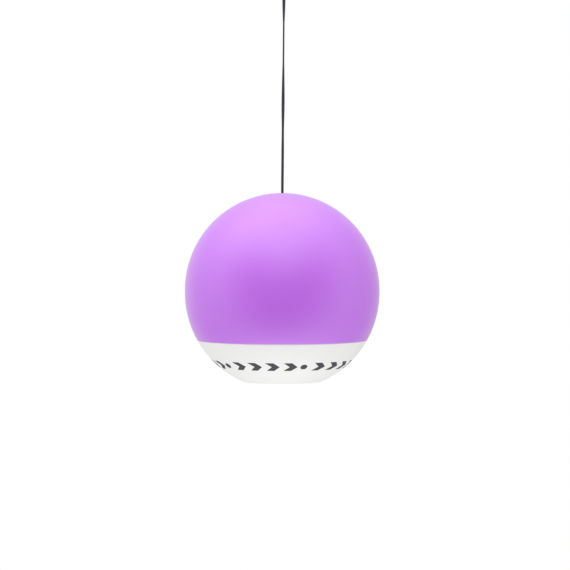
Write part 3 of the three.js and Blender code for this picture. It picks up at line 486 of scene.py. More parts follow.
def base_outline():
    """Up the outside from the flat ring, round the collar, and down the inside to the ledge."""
    joint = SPLIT - 0.04
    inside = BALL - BASE_WALL
    flat_angle = math.degrees(math.atan2(-90.7 + BAND, 39.7))
    collar_rows = np.linspace(-53.2, -69.2, 42)
    return np.vstack([
        [[OPENING, -FLAT + 0.5], [OPENING + 0.5, -FLAT]],
        arc((39.7, -90.7), 2.0, -90, flat_angle, 8),
        arc((0, -BAND), BALL, flat_angle + 0.6, elevation(joint - 0.15, BALL, -BAND), 60),
        [[EDGE, joint], [65.1, joint], [65.1, -52.75], [COLLAR_BORE, -52.75]],
        np.stack([np.full(42, COLLAR_BORE), collar_rows], axis=-1),
        [[COLLAR_BORE + 0.3, -69.55], [66.9, -69.55], [67.2, -69.2], [67.2, -53.2]],
        arc((0, -BAND), inside, elevation(-52.75, inside, -BAND),
            elevation(-90.3, inside, -BAND), 40),
        [[36.3, -90.3], [36.3, -85.5], [36.0, -85.2], [24.3, -85.2], [24.0, -85.5]],
        [[24.0, -87.5], [24.3, -87.8], [OPENING, -87.8]],
    ])


plate_screw_places = [middle_of(f"plate_screw_{i}")[:2] for i in range(1, 5)]
bosses = [turned(eased([[1.6, -85.6], [3.2, -85.6], [3.2, -83.2], [1.6, -83.2]], 0.3), 32, place)
          for place in plate_screw_places]
base = piece("base_fine", turned(base_outline(), 300, relief=collar_relief), *bosses, height=BALL_Z)
settle(base, "base", "white_shell", "base_shell")

refine("neck_seal", "seal", "grey_rubber", turned(arc((63.55, -51.3), 1.15, 0, 350, 35), 180),
       height=BALL_Z)

# %% [markdown]
# ## Marks round the base
# A pad-printed ring shows which way to turn the base. It is five groups of four plain arrowheads
# with a dot between the groups. Each mark is a patch of ink a few hundredths of a millimetre thick,
# bent to the ball, so it keeps a crisp edge without any image.

# %% Patches of ink
INK = 0.05
MARK_TOP = -43.3  # elevation of the ring's edges on the ball, in degrees
MARK_LOW = -50.2


def on_base(azimuth, rise, lift):
    """Points on the base at angles in degrees, a small lift off its surface.

    Azimuth 0 faces the camera and grows to the right.
    """
    azimuth, rise = np.radians(azimuth), np.radians(rise)
    radius = BALL + lift
    return np.stack([radius * np.cos(rise) * np.sin(azimuth),
                     -radius * np.cos(rise) * np.cos(azimuth),
                     radius * np.sin(rise) - BAND], axis=-1)


def ink_patch(azimuth, rise):
    """A patch between a row of left points and a row of right points, closed all round."""
    outer = on_base(azimuth, rise, INK)
    inner = on_base(azimuth, rise, -INK)
    return skin(np.concatenate([outer, inner[:, ::-1]], axis=1))


POINT = 5.2  # how far an arrowhead's point stands ahead of its ends
STROKE = 6.8


def arrowhead(start):
    """An arrowhead: a slanting stroke down to its point and back, t from its top to its foot.

    azimuth = start + point * (1 - |2t - 1|) + stroke * s
    """
    t = np.linspace(0, 1, 17)[:, None]
    s = np.linspace(0, 1, 7)[None, :]
    azimuth = start + POINT * (1 - np.abs(2 * t - 1)) + STROKE * s
    return ink_patch(azimuth, MARK_TOP + (MARK_LOW - MARK_TOP) * t + 0 * s)


DOT = 2.1  # a dot's radius in degrees
SQUEEZE = 0.69  # cosine of the marks' elevation, where a degree of azimuth is that much shorter


def dot(azimuth):
    """A round patch: at height share v its half width is sqrt(1 - v^2)."""
    v = np.sin(np.radians(np.linspace(-88, 88, 15)))[:, None]
    s = np.linspace(-1, 1, 7)[None, :]
    width = DOT / SQUEEZE * np.sqrt(1 - v ** 2)
    return ink_patch(azimuth + width * s, (MARK_TOP + MARK_LOW) / 2 - DOT * v + 0 * s)


GROUP = 72.0  # degrees from one group to the next
FIRST_ARROW = -44.6
ARROW_PITCH = 15.3
DOT_AFTER = 63.4  # degrees from a group's first arrowhead to its dot
marks = []
for group in range(5):
    begin = FIRST_ARROW + group * GROUP
    marks += [arrowhead(begin + ARROW_PITCH * step) for step in range(4)]
    marks.append(dot(begin + DOT_AFTER))
ring_marks = piece("turn_marks", *marks, height=BALL_Z)
settle(ring_marks, "base", "black_plastic")

# %% [markdown]
# ## Pieces cut from a sheet
# A plate with holes is a flat outline given a thickness and a small edge all round. Blender's flat
# curves do exactly that: each loop is an outline or a hole, and the curve is then made a mesh.

# %% Flat pieces
def circle(radius, x=0.0, y=0.0, count=72):
    """A loop of points round a circle."""
    return arc((x, y), radius, 0, 360 - 360 / count, count - 1)


def box_loop(size_x, size_y, corner, x=0.0, y=0.0):
    """A rectangle with eased corners."""
    a, b = size_x / 2, size_y / 2
    return eased([[-a, -b], [a, -b], [a, b], [-a, b]], corner, 6) + (x, y)


def sheet_cut(loops, low, high, edge):
    """A flat piece between two heights, with a rounded edge, from an outline and its holes."""
    curve = bpy.data.curves.new("cut", "CURVE")
    curve.dimensions, curve.fill_mode = "2D", "BOTH"
    curve.extrude = (high - low) / 2 - edge
    curve.bevel_depth, curve.bevel_resolution, curve.offset = edge, 2, -edge
    for loop in loops:
        line = curve.splines.new("POLY")
        line.points.add(len(loop) - 1)
        line.points.foreach_set("co", np.insert(loop, [2, 2], [0, 1], axis=1).ravel())
        line.use_cyclic_u = True
    holder = bpy.data.objects.new("cut", curve)
    mesh = bpy.data.meshes.new_from_object(holder)
    points = np.empty(len(mesh.vertices) * 3)
    mesh.vertices.foreach_get("co", points)
    faces = [list(face.vertices) for face in mesh.polygons]
    bpy.data.objects.remove(holder)
    bpy.data.curves.remove(curve)
    bpy.data.meshes.remove(mesh)
    return points.reshape(-1, 3) + (0, 0, (low + high) / 2), faces

# %% [markdown]
# ## Under the base
# The bottom plate closes the recess. It has a round hole for the button, a slot for the charging
# socket and four sunk screws. The rubber plug over the socket hangs on a tether whose barb is
# pulled through its own hole.

# %% Bottom plate
PLATE_LOW, PLATE_HIGH = -90.5, -88.1
BUTTON_X = -11.0
PORT_X = 12.0
TETHER_PIN_X = 21.5

sunk = [circle(2.9, *place, 32) for place in plate_screw_places]
through = [circle(1.5, *place, 24) for place in plate_screw_places]
openings = [circle(7.3, BUTTON_X), box_loop(4.4, 10, 1.2, PORT_X),
            circle(1.5, TETHER_PIN_X, 0, 24)]
rim = circle(33.6, count=144)
refine(
    "bottom_plate", "base", "white_plastic",
    sheet_cut([rim, *openings, *sunk], PLATE_LOW, PLATE_LOW + 1.4, 0.25),
    sheet_cut([rim, *openings, *through], PLATE_LOW + 1.2, PLATE_HIGH, 0.1),
    turned([[31.2, PLATE_LOW - 0.12], [31.6, PLATE_LOW - 0.2], [32.0, PLATE_LOW - 0.12],
            [32.0, PLATE_LOW + 0.3], [31.2, PLATE_LOW + 0.3]], 144),
    height=BALL_Z)

# %% Button, plug and tether
BUTTON_FACE = -92.0
MARK_RADIUS = 2.9
MARK_HEIGHT = 0.22


def dished(angle, radius, height):
    """Sinks the button's face by up to 0.5 mm and raises the usual on-off mark on it.

    The mark is a ring with a gap at its top and a short bar in that gap. Its sides slope over
    0.14 mm, so that the grid can follow them.
    """
    x, y = radius * np.cos(angle), radius * np.sin(angle)

    def within(half_width, distance):
        return np.clip((half_width - np.abs(distance)) / 0.14, 0, 1)

    ring = within(0.42, radius - MARK_RADIUS)
    gap = within(0.95, x) * (y > 0)
    bar = within(0.36, x) * within(1.7, y - 2.5)
    mark = np.maximum(ring * (1 - gap), bar)
    sink = 0.5 * np.clip(1 - (radius / 5) ** 2, 0, 1) - MARK_HEIGHT * mark
    return radius, height + np.where(height < BUTTON_FACE + 0.05, sink, 0)


stem_top = corners("power_button")[1][2] - BALL_Z
button_outline = np.vstack([
    np.stack([np.linspace(0, 6.3, 46), np.full(46, BUTTON_FACE)], axis=-1),
    [[6.7, -91.9], [6.95, -91.6], [7.0, -91.2], [7.0, -87.8], [8.4, -87.8], [8.6, -87.6],
     [8.6, -87.0], [8.4, -86.8], [3.0, -86.8], [3.0, stem_top], [0, stem_top]],
])
refine("power_button", "button", "grey_rubber",
       turned(button_outline, 160, (BUTTON_X, 0), dished), height=BALL_Z)

FLAP = (-92.2, -90.8, 0.35)  # from, to and edge of the flat rubber
grips = [sheet_cut([box_loop(0.9, 9.5, 0.4, x)], -92.4, -92.0, 0.12)
         for x in (9.4, 11.3, 13.2)]
refine("port_plug", "plug", "grey_rubber", *grips,
       sheet_cut([box_loop(11.2, 14, 2.2, 13.2)], *FLAP),
       sheet_cut([box_loop(3.4, 9.2, 1.0, PORT_X)], -91.0, -89.8, 0.2), height=BALL_Z)

barb = eased([[0, -91.0], [1.2, -91.0], [1.2, -87.8], [1.8, -87.7], [1.4, -87.0], [0, -87.0]], 0.1)
refine("port_tether", "base", "grey_rubber",
       sheet_cut([box_loop(5, 7, 1.2, 21.9)], *FLAP),
       turned(barb, 48, (TETHER_PIN_X, 0)), height=BALL_Z)

# %% [markdown]
# ## Screws
# All the screws are alike: a low domed head with a cross recess, and a threaded shank. The
# recess is a formula on the head's own polar grid, so one function makes every screw; only
# the length, the place and the end that faces up change.

# %% Screws
HEAD = 1.0  # height of a screw's head
HEAD_RADIUS = 2.6


def cross_recess(angle, radius, height):
    """Domes the head, sinks a cross into it and gives the shank its thread."""
    x, y = np.abs(radius * np.cos(angle)), np.abs(radius * np.sin(angle))
    arm = (np.clip((0.42 - np.minimum(x, y)) / 0.12, 0, 1)
           * np.clip((1.65 - np.maximum(x, y)) / 0.2, 0, 1))
    top = height > HEAD - 0.05
    dome = 0.25 * (1 - (radius / HEAD_RADIUS) ** 2)
    height = height + np.where(top, dome - 0.25 - 0.7 * arm, 0)
    shank = (height < -0.4) & (radius > 0.9)
    wave = 0.5 + 0.5 * np.cos(2 * np.pi * height / 0.8 - angle)
    return radius - np.where(shank, 0.28 * wave, 0), height


def screw(node, faces_down):
    """Makes a fine screw in the place and length of a packed one."""
    low, high = corners(node)
    length = high[2] - low[2] - HEAD
    rows = np.arange(-0.2, -length + 0.4, -0.2)
    outline = np.vstack([
        np.stack([np.linspace(0, 2.3, 24), np.full(24, HEAD)], axis=-1),
        [[2.5, 0.85], [HEAD_RADIUS, 0.6], [HEAD_RADIUS, 0.12], [2.5, 0.0], [1.3, 0.0]],
        np.stack([np.full(len(rows), 1.3), rows], axis=-1),
        [[0.5, -length], [0, -length]],
    ])
    points, faces = turned(outline, 48, relief=cross_recess)
    if faces_down:
        points = points * (1, -1, -1)
    seat = low[2] + HEAD if faces_down else high[2] - HEAD
    refine(node, "base", "zinc_screw", (points + (*middle_of(node)[:2], seat), faces), sharp=35)


for name in sorted(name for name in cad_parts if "_screw_" in name):
    screw(name, name.startswith("plate"))

# %% [markdown]
# ## Cord gland in the crown
# Inside the crown a rubber grommet grips the cord. A hexagonal nut of white plastic presses it
# up into the boss, and a steel washer keeps the knot from working into the nut.

# %% Grommet, nut and washer
grommet_outline = eased([[1.9, 89.6], [6.0, 89.6], [6.0, 91.4], [5.6, 91.8], [6.0, 92.2],
                         [6.0, 94.8], [1.9, 94.8]], 0.25)
refine("crown_grommet", "ball", "grey_rubber", turned(grommet_outline, 72), height=BALL_Z)

NUT_FLATS = 18.0
NUT_BORE = 2.1
hexagon = eased(arc((0, 0), NUT_FLATS / math.sqrt(3), 0, 300, 5), 0.5)
thread_rows = np.stack([6.0 - 0.35 * (np.arange(24) % 4 == 2), np.linspace(84.0, 88.9, 24)],
                       axis=-1)
nut_outline = np.vstack([[[NUT_BORE, 83.5], [6.0, 83.5]], thread_rows,
                         [[5.6, 89.3], [NUT_BORE, 89.3]]])
refine("gland_nut", "ball", "white_plastic",
       sheet_cut([hexagon, circle(NUT_BORE, count=32)], 79.7, 83.9, 0.5),
       turned(nut_outline, 72), height=BALL_Z)

refine("stop_washer", "ball", "zinc_screw",
       sheet_cut([circle(7.0), circle(NUT_BORE, count=32)], 78.4, 79.4, 0.12), height=BALL_Z)

# %% [markdown]
# ## Snap hook
# The hook is bent from 3 mm steel wire. It is one smooth route in a plane, with a small circle
# carried along it. The barrel that the swivel turns in and the lug that the gate turns on are
# turned pieces, welded to the wire.

# %% Hook
BOW_Z = -9.0
BOW = 10.5
WIRE = 1.5
PIVOT_Z = -26.0


def wire(path, radius, sides=24):
    """A round wire along a path in a plane with the normal X, with a small round at each end."""
    run = run_along(path)
    to_end = np.minimum(run, run[-1] - run)
    size = radius * np.sqrt(1 - np.clip(1 - to_end / 0.5, 0, 1) ** 2 * 0.35)
    return skin(tube(path, *across(path, (1.0, 0.0, 0.0)), size[:, None, None], sides))


hook_route = np.vstack([
    [[BOW, BOW_Z - 3.5]], arc((0, BOW_Z), BOW, 0, 180, 12),
    [[-BOW, -17], [-BOW, -22.7], [-9.1, -27.95], [-5.25, -31.8], [0, -33.2], [5.25, -32.0],
     [9.0, -29.2], [BOW, PIVOT_Z]],
])
hook_path = smooth_route(np.insert(hook_route, 0, 0, axis=1), 0.35)[0]
barrel = turned(eased([[2.2, -37.0], [4.6, -37.0], [4.6, -30.2], [2.2, -30.2]], 0.7, 5), 72)
lug = laid(turned([[0.01, -1.5], [1.2, -1.5], [2.8, -1.5], [3.0, -1.3], [3.0, 1.3], [2.8, 1.5],
                   [1.2, 1.5], [0.01, 1.5]], 48), (0, BOW, PIVOT_Z))
hook = piece("hook_fine", wire(hook_path, WIRE), barrel, lug)
settle(hook, "hook", "polished_steel", "hook_body")

# %% Gate and pin
gate_top = corners("hook_gate")[1][2]
rod_path = np.array([[0, BOW, z] for z in np.linspace(-21.0, gate_top, 30)])
cheek_loop = np.vstack([arc((0, 0), 2.75, 180, 360, 24),
                        [[1.9, 3.8], [1.9, 5.8], [-1.9, 5.8], [-1.9, 3.8]]])
cheeks = [laid(sheet_cut([cheek_loop], -0.5, 0.5, 0.15), (x, BOW, PIVOT_Z)) for x in (-2.3, 2.3)]
root = sheet_cut([box_loop(5.6, 3.8, 0.8, 0, BOW)], -22.6, -20.2, 0.4)
refine("hook_gate", "gate", "polished_steel", wire(rod_path, 1.4), root, *cheeks)

refine("gate_pin", "hook", "polished_steel", laid(turned([
    [0, -3.8], [1.2, -3.8], [1.7, -3.5], [1.8, -3.1], [0.9, -3.1], [0.9, 3.1], [1.8, 3.1],
    [1.7, 3.5], [1.2, 3.8], [0, 3.8]], 48), (0, BOW, PIVOT_Z)))

# %% [markdown]
# The swivel is a headed stem that turns in the barrel, with a ring below its collar. The ring
# stands across the cord's loop, so the cord can swing on it.

# %% Swivel
EYE_RING = 5.6
RING_Z = -45.6
ring_angle = full_turn(96)
ring_path = np.stack([0 * ring_angle, EYE_RING * np.cos(ring_angle),
                      EYE_RING * np.sin(ring_angle) + RING_Z], axis=-1)
outward = (ring_path - (0, 0, RING_Z)) / EYE_RING
eye = skin(tube(ring_path, outward, np.array([[1.0, 0, 0]]), 1.4, 24), joined=True)
stem = turned([[0, -39.6], [3.1, -39.6], [3.6, -39.1], [3.6, -37.8], [3.2, -37.3],
               [1.9, -37.3], [1.9, -29.9], [3.3, -29.9], [3.3, -29.5], [2.7, -28.6],
               [2.2, -28.5], [0, -28.5]], 72)
refine("swivel_eye", "swivel", "polished_steel", eye, stem)

# %% [markdown]
# ## Inside the base
# The ballast ring keeps the ball upright in water. The tray on it holds two cells under a bent
# strap, and a mast lifts the lamp to the middle of the globe, so that the whole globe glows.
# Small electronic parts hang under the control board, above the plate.

# %% Board and ballast
board_low, board_high = (corner[2] for corner in corners("control_board"))
refine("control_board", "base", "circuit_board",
       sheet_cut([circle(31.0, count=120), *through], board_low, board_high, 0.08))

BALLAST_RADIUS = BALL - 2.9  # of the ball that its outside is turned to
BALLAST_BORE = 36.7
ballast_low, ballast_high = (corner[2] - BALL_Z for corner in corners("ballast_ring"))


def ballast_reach(height):
    """Radius of the ballast's outside at a height: sqrt(R^2 - h^2)."""
    return np.sqrt(BALLAST_RADIUS ** 2 - (height + BAND) ** 2)


rows = np.linspace(ballast_low + 0.6, ballast_high - 0.6, 9)
side_rows = np.stack([ballast_reach(rows) - 0.05, rows], axis=-1)
ballast_outline = np.vstack([
    [[BALLAST_BORE + 0.4, ballast_low], [ballast_reach(ballast_low) - 1.2, ballast_low]],
    side_rows,
    [[side_rows[-1][0] - 0.4, ballast_high], [BALLAST_BORE + 0.4, ballast_high],
     [BALLAST_BORE, ballast_high - 0.4], [BALLAST_BORE, ballast_low + 0.4]],
])
refine("ballast_ring", "base", "cast_iron", turned(ballast_outline, 180), height=BALL_Z)
print("ballast from", round(ballast_low, 1), "to", round(ballast_high, 1))

# %% Cells and lamp
cell_outline = [[0, -32.5], [8.6, -32.5], [9.2, -31.8], [9.2, 29.4], [8.7, 30.0], [9.0, 30.6],
                [8.9, 31.3], [8.2, 31.7], [3.2, 31.7], [3.0, 32.3], [2.7, 32.5], [0, 32.5]]
for node in ("battery_cell_1", "battery_cell_2"):
    place = (0, *middle_of(node)[1:])
    refine(node, "base", "cell_sleeve", laid(turned(cell_outline, 72), place))

refine("led_mast", "base", "white_plastic", turned([
    [4.8, -57.2], [11.7, -57.2], [12.0, -56.9], [12.0, -55.7], [11.7, -55.4], [7.5, -55.4],
    [6.8, -55.0], [6.5, -54.2], [6.5, -27.4], [6.9, -26.3], [8.0, -25.9], [29.6, -25.9],
    [30.0, -25.6], [30.0, -24.5], [29.7, -24.2], [4.8, -24.2], [4.6, -24.4], [4.6, -57.0],
], 120), height=BALL_Z)

LAMP_Z = -23.9  # where the lamp's board and its dome stand
refine("led_board", "base", "aluminium",
       sheet_cut([circle(22.0, count=96)], LAMP_Z, -22.3, 0.08), height=BALL_Z)

DOME = 30.0
DOME_WALL = 1.5
dome = np.vstack([arc((0, LAMP_Z), DOME, 0.6, 90, 48),
                  arc((0, LAMP_Z), DOME - DOME_WALL, 90, 0.6, 48)])
refine("led_diffuser", "base", "frosted_dome", turned(dome, 144), height=BALL_Z)

LENS = np.array([[0, 1.2], [1.8, 1.2], [1.75, 1.55], [1.4, 1.75], [0.8, 1.88], [0, 1.9]])
for index in range(1, 7):
    node = f"led_chip_{index}"
    foot = corners(node)[0][2]
    x, y = middle_of(node)[:2]
    turn = math.radians(60 * (index - 1))
    points, faces = sheet_cut([box_loop(5, 5, 0.4)], foot, foot + 1.4, 0.12)
    spin = np.array([[math.cos(turn), math.sin(turn), 0],
                     [-math.sin(turn), math.cos(turn), 0], [0, 0, 1]])
    lens = turned(LENS + (0, foot), 40, (x, y))
    refine(node, "base", "lamp_chip", (points @ spin + (x, y, 0), faces), lens)

# %% [markdown]
# ## Shader maths
# A finish is a small sheet of nodes. Written as arithmetic it is much easier to read, so one class
# wraps an output socket and turns each operator into a Math node.

# %% A socket that does arithmetic
class Value:
    """A node's output. The operators on it add Math nodes and return new outputs."""

    def __init__(self, sheet, socket):
        self.sheet = sheet
        self.socket = socket

    def __add__(self, other):
        return self.sheet.math("ADD", self, other)

    def __sub__(self, other):
        return self.sheet.math("SUBTRACT", self, other)

    def __rsub__(self, other):
        return self.sheet.math("SUBTRACT", other, self)

    def __mul__(self, other):
        return self.sheet.math("MULTIPLY", self, other)

    def __pow__(self, other):
        return self.sheet.math("POWER", self, other)

    def __gt__(self, other):
        return self.sheet.math("GREATER_THAN", self, other)

    __radd__ = __add__
    __rmul__ = __mul__


class Sheet:
    """The node tree of a material or of the world."""

    def __init__(self, owner):
        owner.use_nodes = True
        self.tree = owner.node_tree
        self.tree.nodes.clear()

    def node(self, kind, settings=None, inputs=None, output=0):
        """Adds a node: its settings first, then the values or links of its sockets."""
        made = self.tree.nodes.new(kind)
        for key, value in (settings or {}).items():
            if key == "stops":
                for place, (position, shade) in enumerate(value):
                    ends = made.color_ramp.elements
                    stop = ends[place] if place < 2 else ends.new(position)
                    stop.position, stop.color = position, (shade, shade, shade, 1)
            else:
                setattr(made, key, value)
        for key, value in (inputs or {}).items():
            if isinstance(value, Value):
                self.tree.links.new(value.socket, made.inputs[key])
            else:
                made.inputs[key].default_value = value
        return Value(self, made.outputs[output]) if len(made.outputs) else None

    def math(self, operation, *values):
        """Numbers or values through a Math node."""
        return self.node("ShaderNodeMath", {"operation": operation}, dict(enumerate(values)))

    def mix(self, factor, first, second):
        """A colour between two colours."""
        return self.node("ShaderNodeMix", {"data_type": "RGBA"},
                         {0: factor, 6: first, 7: second}, output=2)

    def ramp(self, value, *stops):
        """A value through a ramp of (position, grey) stops."""
        return self.node("ShaderNodeValToRGB", {"stops": stops}, {0: value})

    def place(self):
        """The object's own coordinates, in metres."""
        return self.node("ShaderNodeTexCoord", output=3)

    def noise(self, scale, detail, stretch=(1, 1, 1)):
        """Noise in the object's own space, in waves per metre, from 0 to 1."""
        mapped = self.node("ShaderNodeMapping", {}, {"Vector": self.place(), "Scale": stretch})
        return self.node("ShaderNodeTexNoise", {},
                         {"Vector": mapped, "Scale": scale, "Detail": detail})

# %% [markdown]
# Most finishes share one recipe: a colour that drifts a little over the surface, a roughness that
# drifts with it, and a fine bump. What changes from one finish to the next is only the numbers and
# the look of the grain.

# %% One recipe for a finish
finishes = {}


def colour(red, green, blue):
    """A colour as a socket wants it."""
    return (red, green, blue, 1)


def finish(slot, base, rough, metal=0.0, drift=0.06, grain=900, relief=0.02, coat=0.0,
           gloss=0.5, index=1.5, stretch=(1, 1, 1), sheen=0.0, pattern=None, name=None):
    """Makes a slot's material, with drifting colour and roughness, and a bump of relief in mm.

    A pattern takes the sheet, the colour, the roughness and the fine noise, and returns its own
    colour, roughness and height. The material is called after its slot if it has no other name.
    """
    finishes[slot] = made = bpy.data.materials.new(name or slot)
    sheet = Sheet(made)
    fine = sheet.noise(grain, 2.0, stretch)
    broad = sheet.noise(grain / 14, 2.0, stretch)
    darker = colour(*(channel * (1 - 2 * drift) for channel in base))
    shade = sheet.mix(broad, darker, colour(*base))
    dull = broad * (2 * drift) + (rough - drift)
    height = fine
    if pattern:
        shade, dull, height = pattern(sheet, shade, dull, fine)
    bump = sheet.node("ShaderNodeBump", {},
                      {"Height": height, "Distance": relief * MM, "Strength": 1.0})
    surface = sheet.node("ShaderNodeBsdfPrincipled", {}, {
        "Base Color": shade, "Roughness": dull, "Metallic": metal, "Normal": bump,
        "Specular IOR Level": gloss, "IOR": index, "Coat Weight": coat, "Coat Roughness": 0.1,
        "Sheen Weight": sheen, "Sheen Roughness": 0.5,
    })
    sheet.node("ShaderNodeOutputMaterial", {}, {"Surface": surface})


print("finishes share one recipe")

# %% [markdown]
# ## Finishes
# The globe is satin plastic: its colour is deep where it is seen straight on, and pale towards the
# crown and the rims. Paint could fake that, but it would stay put when the ball swings. A strong
# but blurred mirror, from a high index of refraction, and a faint sheen give it from any side.
# The base is the same plastic in white, a little duller.

# %% Globe, base and ink
def braid_pattern(sheet, shade, dull, fine):
    """Small yarns: a noise drawn out a little along the cord."""
    yarn = sheet.noise(2600, 1.0, (1, 1, 0.45))
    return sheet.mix(yarn, colour(0.045, 0.042, 0.052), shade), dull, yarn + fine


finish("tinted_globe", (0.538, 0.046, 0.891), 0.3, drift=0.01, grain=700, relief=0.003,
       index=2.4, sheen=0.4, name="satin_purple_globe")
finish("white_shell", (0.945, 0.942, 0.936), 0.45, drift=0.012, grain=800, relief=0.003,
       index=1.9, name="satin_white_base")
finish("ink", (0.06, 0.06, 0.07), 0.55, drift=0.05, grain=1500, relief=0.003, gloss=0.3,
       name="dark_grey_ink")
finish("cord", (0.082, 0.076, 0.09), 0.85, drift=0.1, grain=2400, relief=0.06, gloss=0.15,
       pattern=braid_pattern, name="dark_braid")
print(", ".join(finishes))

# %% [markdown]
# The hardware needs metals that differ as they do in the hand: polished wire, drawn sleeve, zinc
# plated screws and rough cast iron. The grain is stretched along the way the metal was drawn.

# %% Metals
def sand_pattern(sheet, shade, dull, fine):
    """Shallow pits of sand casting: a ramp picks out the low places of the noise."""
    pits = sheet.ramp(sheet.noise(420, 2.0), (0.40, 0), (0.52, 1))
    return sheet.mix(pits, colour(0.045, 0.032, 0.026), shade), dull + pits * -0.12, pits * 2 + fine


finish("polished_steel", (0.62, 0.63, 0.65), 0.16, 1.0, drift=0.05, grain=1400, relief=0.004,
       stretch=(1, 1, 0.2))
finish("aluminium", (0.72, 0.73, 0.74), 0.32, 1.0, drift=0.05, grain=1600, relief=0.01,
       stretch=(1, 1, 0.1), name="drawn_aluminium")
finish("zinc_screw", (0.55, 0.57, 0.6), 0.3, 1.0, drift=0.08, grain=1800, relief=0.008,
       name="zinc_plate")
finish("cast_iron", (0.12, 0.122, 0.13), 0.66, 0.85, drift=0.1, grain=1500, relief=0.05,
       pattern=sand_pattern)

# %% [markdown]
# Plastics and rubber differ mostly in how they break up a highlight. The circuit board's copper
# tracks and the cell's printed sleeve are patterns in the object's own space.

# %% Plastics, rubber and electronics
def track_pattern(sheet, shade, dull, fine):
    """Straight copper tracks under green lacquer: thin bands along X where the noise allows."""
    bands = sheet.node("ShaderNodeTexWave", {"bands_direction": "Y"},
                       {"Vector": sheet.place(), "Scale": 130}, output=1)
    area = sheet.noise(90, 0.0)
    track = (bands > 0.72) * (area > 0.5)
    return sheet.mix(track, shade, colour(0.06, 0.3, 0.14)), dull, track * 2 + fine


def sleeve_pattern(sheet, shade, dull, fine):
    """A shrink sleeve with two pale bands round it, near the cell's positive end."""
    run = sheet.node("ShaderNodeSeparateXYZ", {}, {0: sheet.place()})
    near = sheet.math("COMPARE", run, 0.026, 0.0012)
    banded = sheet.mix(near, shade, colour(0.85, 0.85, 0.83))
    return sheet.mix(run > 0.0298, banded, colour(0.6, 0.6, 0.6)), dull, fine


finish("white_plastic", (0.8, 0.8, 0.785), 0.5, drift=0.02, grain=1100, relief=0.012)
finish("black_plastic", (0.018, 0.019, 0.021), 0.5, drift=0.04, grain=1300, relief=0.015)
finish("grey_rubber", (0.11, 0.115, 0.125), 0.75, drift=0.04, grain=1500, gloss=0.3)
finish("circuit_board", (0.02, 0.16, 0.07), 0.3, drift=0.02, coat=0.6, pattern=track_pattern)
finish("cell_sleeve", (0.04, 0.28, 0.46), 0.3, drift=0.02, grain=300, coat=0.3,
       pattern=sleeve_pattern)
finish("lamp_chip", (0.88, 0.68, 0.16), 0.25, drift=0.03, relief=0.005, coat=0.5)
finish("frosted_dome", (0.86, 0.88, 0.9), 0.6, drift=0.02, grain=1600, relief=0.01)
finish("red_lead", (0.42, 0.02, 0.015), 0.4, drift=0.03, relief=0.01)
finish("black_lead", (0.015, 0.015, 0.016), 0.4, drift=0.03, relief=0.01)
print(len(finishes), "finishes")

# %% [markdown]
# Each new piece now gets the finish of its slot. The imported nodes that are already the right
# shape, such as the bent strap and the square switch, keep it and get the same finishes.

# %% Dress the pieces
KEPT_NODES = {
    "black_plastic": ["chassis_tray", "tact_switch", "control_chip", "charge_coil"],
    "aluminium": ["battery_bracket"],
    "polished_steel": ["charge_socket"],
    "red_lead": ["lamp_lead_red"],
    "black_lead": ["lamp_lead_black"],
}


def dress(things, material):
    """Puts one material on objects, in place of what they had."""
    for thing in things:
        thing.data.materials.clear()
        thing.data.materials.append(material)


for slot, things in pieces.items():
    dress(things, finishes[slot])
dress([ring_marks], finishes["ink"])
for slot, nodes in KEPT_NODES.items():
    dress([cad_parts[node] for node in nodes], finishes[slot])
print(sum(len(things) for things in pieces.values()), "new pieces dressed")

# %% [markdown]
# ## Light and floor
# The light is that of a white studio with large soft boxes: most of it from above, more from the
# left than from the right, some from below off the white table, and little from the camera's own
# side. A soft box is written as a lobe, which is brightest in one direction and fades as a power
# of the cosine away from it. The sky is the sum of these lobes, so it has no noise and no edges.
#
# What the camera itself sees behind the ball is plain white paper.

# %% Soft boxes
SOFT_BOXES = [  # azimuth from the camera's side towards the right, elevation, power, strength
    (0, 90, 4, 0.62), (180, 60, 6, 0.58), (0, 50, 6, 0.65), (-90, 50, 6, 0.82),
    (90, 50, 6, 0.42), (-80, 0, 6, 0.36), (80, 0, 6, 0.32), (-60, -40, 6, 0.12),
    (60, -40, 6, 0.22), (0, -90, 4, 1.02), (0, -90, 14, 0.30), (-140, 10, 6, 0.21),
    (-45, 10, 8, 0.04),
]
AMBIENT = 0.545
WHITE = colour(1, 1, 1)


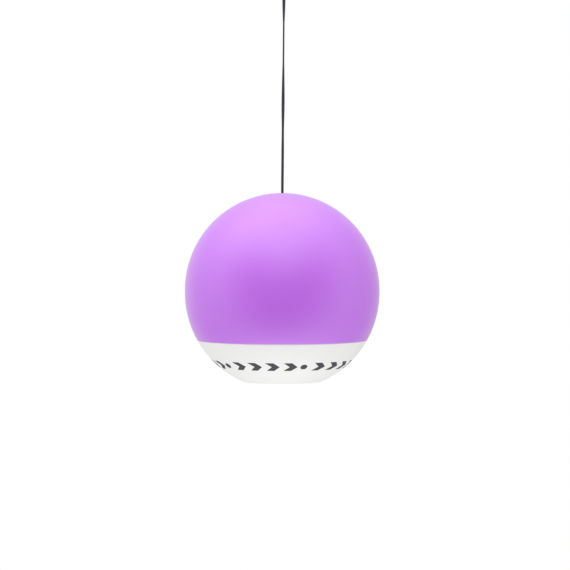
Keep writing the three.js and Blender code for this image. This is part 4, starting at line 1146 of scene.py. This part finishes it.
def towards(azimuth, elevation_angle):
    """A direction from two angles in degrees; azimuth 0 points from the ball to the camera."""
    side, rise = math.radians(azimuth), math.radians(elevation_angle)
    return (math.sin(side) * math.cos(rise), -math.cos(side) * math.cos(rise), math.sin(rise))


world = bpy.data.worlds.new("white_studio")
bpy.context.scene.world = world
sky = Sheet(world)
direction = sky.node("ShaderNodeTexCoord", output=0)
strength = AMBIENT
for azimuth, rise, power, amount in SOFT_BOXES:
    facing = sky.node("ShaderNodeVectorMath", {"operation": "DOT_PRODUCT"},
                      {0: direction, 1: towards(azimuth, rise)}, output=1)
    strength = sky.math("MAXIMUM", facing, 0.0) ** power * amount + strength
lit = sky.node("ShaderNodeBackground", {}, {"Color": WHITE, "Strength": strength})
paper_white = sky.node("ShaderNodeBackground", {}, {"Color": WHITE, "Strength": 1.0})
to_camera = sky.node("ShaderNodeLightPath", output=0)
both = sky.node("ShaderNodeMixShader", {}, {0: to_camera, 1: lit, 2: paper_white})
sky.node("ShaderNodeOutputWorld", {}, {"Surface": both})
print(len(SOFT_BOXES), "soft boxes")

# %% [markdown]
# The floor lies well below the hanging ball and is evenly white, as paper on a light table is, so
# it meets the white behind it without an edge. It is only looked at, and only from above: the soft
# box from below already stands for the light that the floor gives back.

# %% Floor
FLOOR_Z = -1.3
REACH = 30.0
floor_mesh = bpy.data.meshes.new("floor")
floor_corners = [(x * REACH, y * REACH, FLOOR_Z) for x, y in [(-1, -1), (1, -1), (1, 1), (-1, 1)]]
floor_mesh.from_pydata(floor_corners, [], [(0, 1, 2, 3)])
floor = bpy.data.objects.new("floor", floor_mesh)
bpy.context.collection.objects.link(floor)
paper = bpy.data.materials.new("white_paper")
page = Sheet(paper)
glow = page.node("ShaderNodeEmission", {}, {"Color": WHITE, "Strength": 1.0})
clear = page.node("ShaderNodeBsdfTransparent")
from_below = page.node("ShaderNodeNewGeometry", output=6)
one_sided = page.node("ShaderNodeMixShader", {}, {0: from_below, 1: glow, 2: clear})
page.node("ShaderNodeOutputMaterial", {}, {"Surface": one_sided})
floor_mesh.materials.append(paper)
floor.visible_diffuse = False
floor.visible_glossy = False
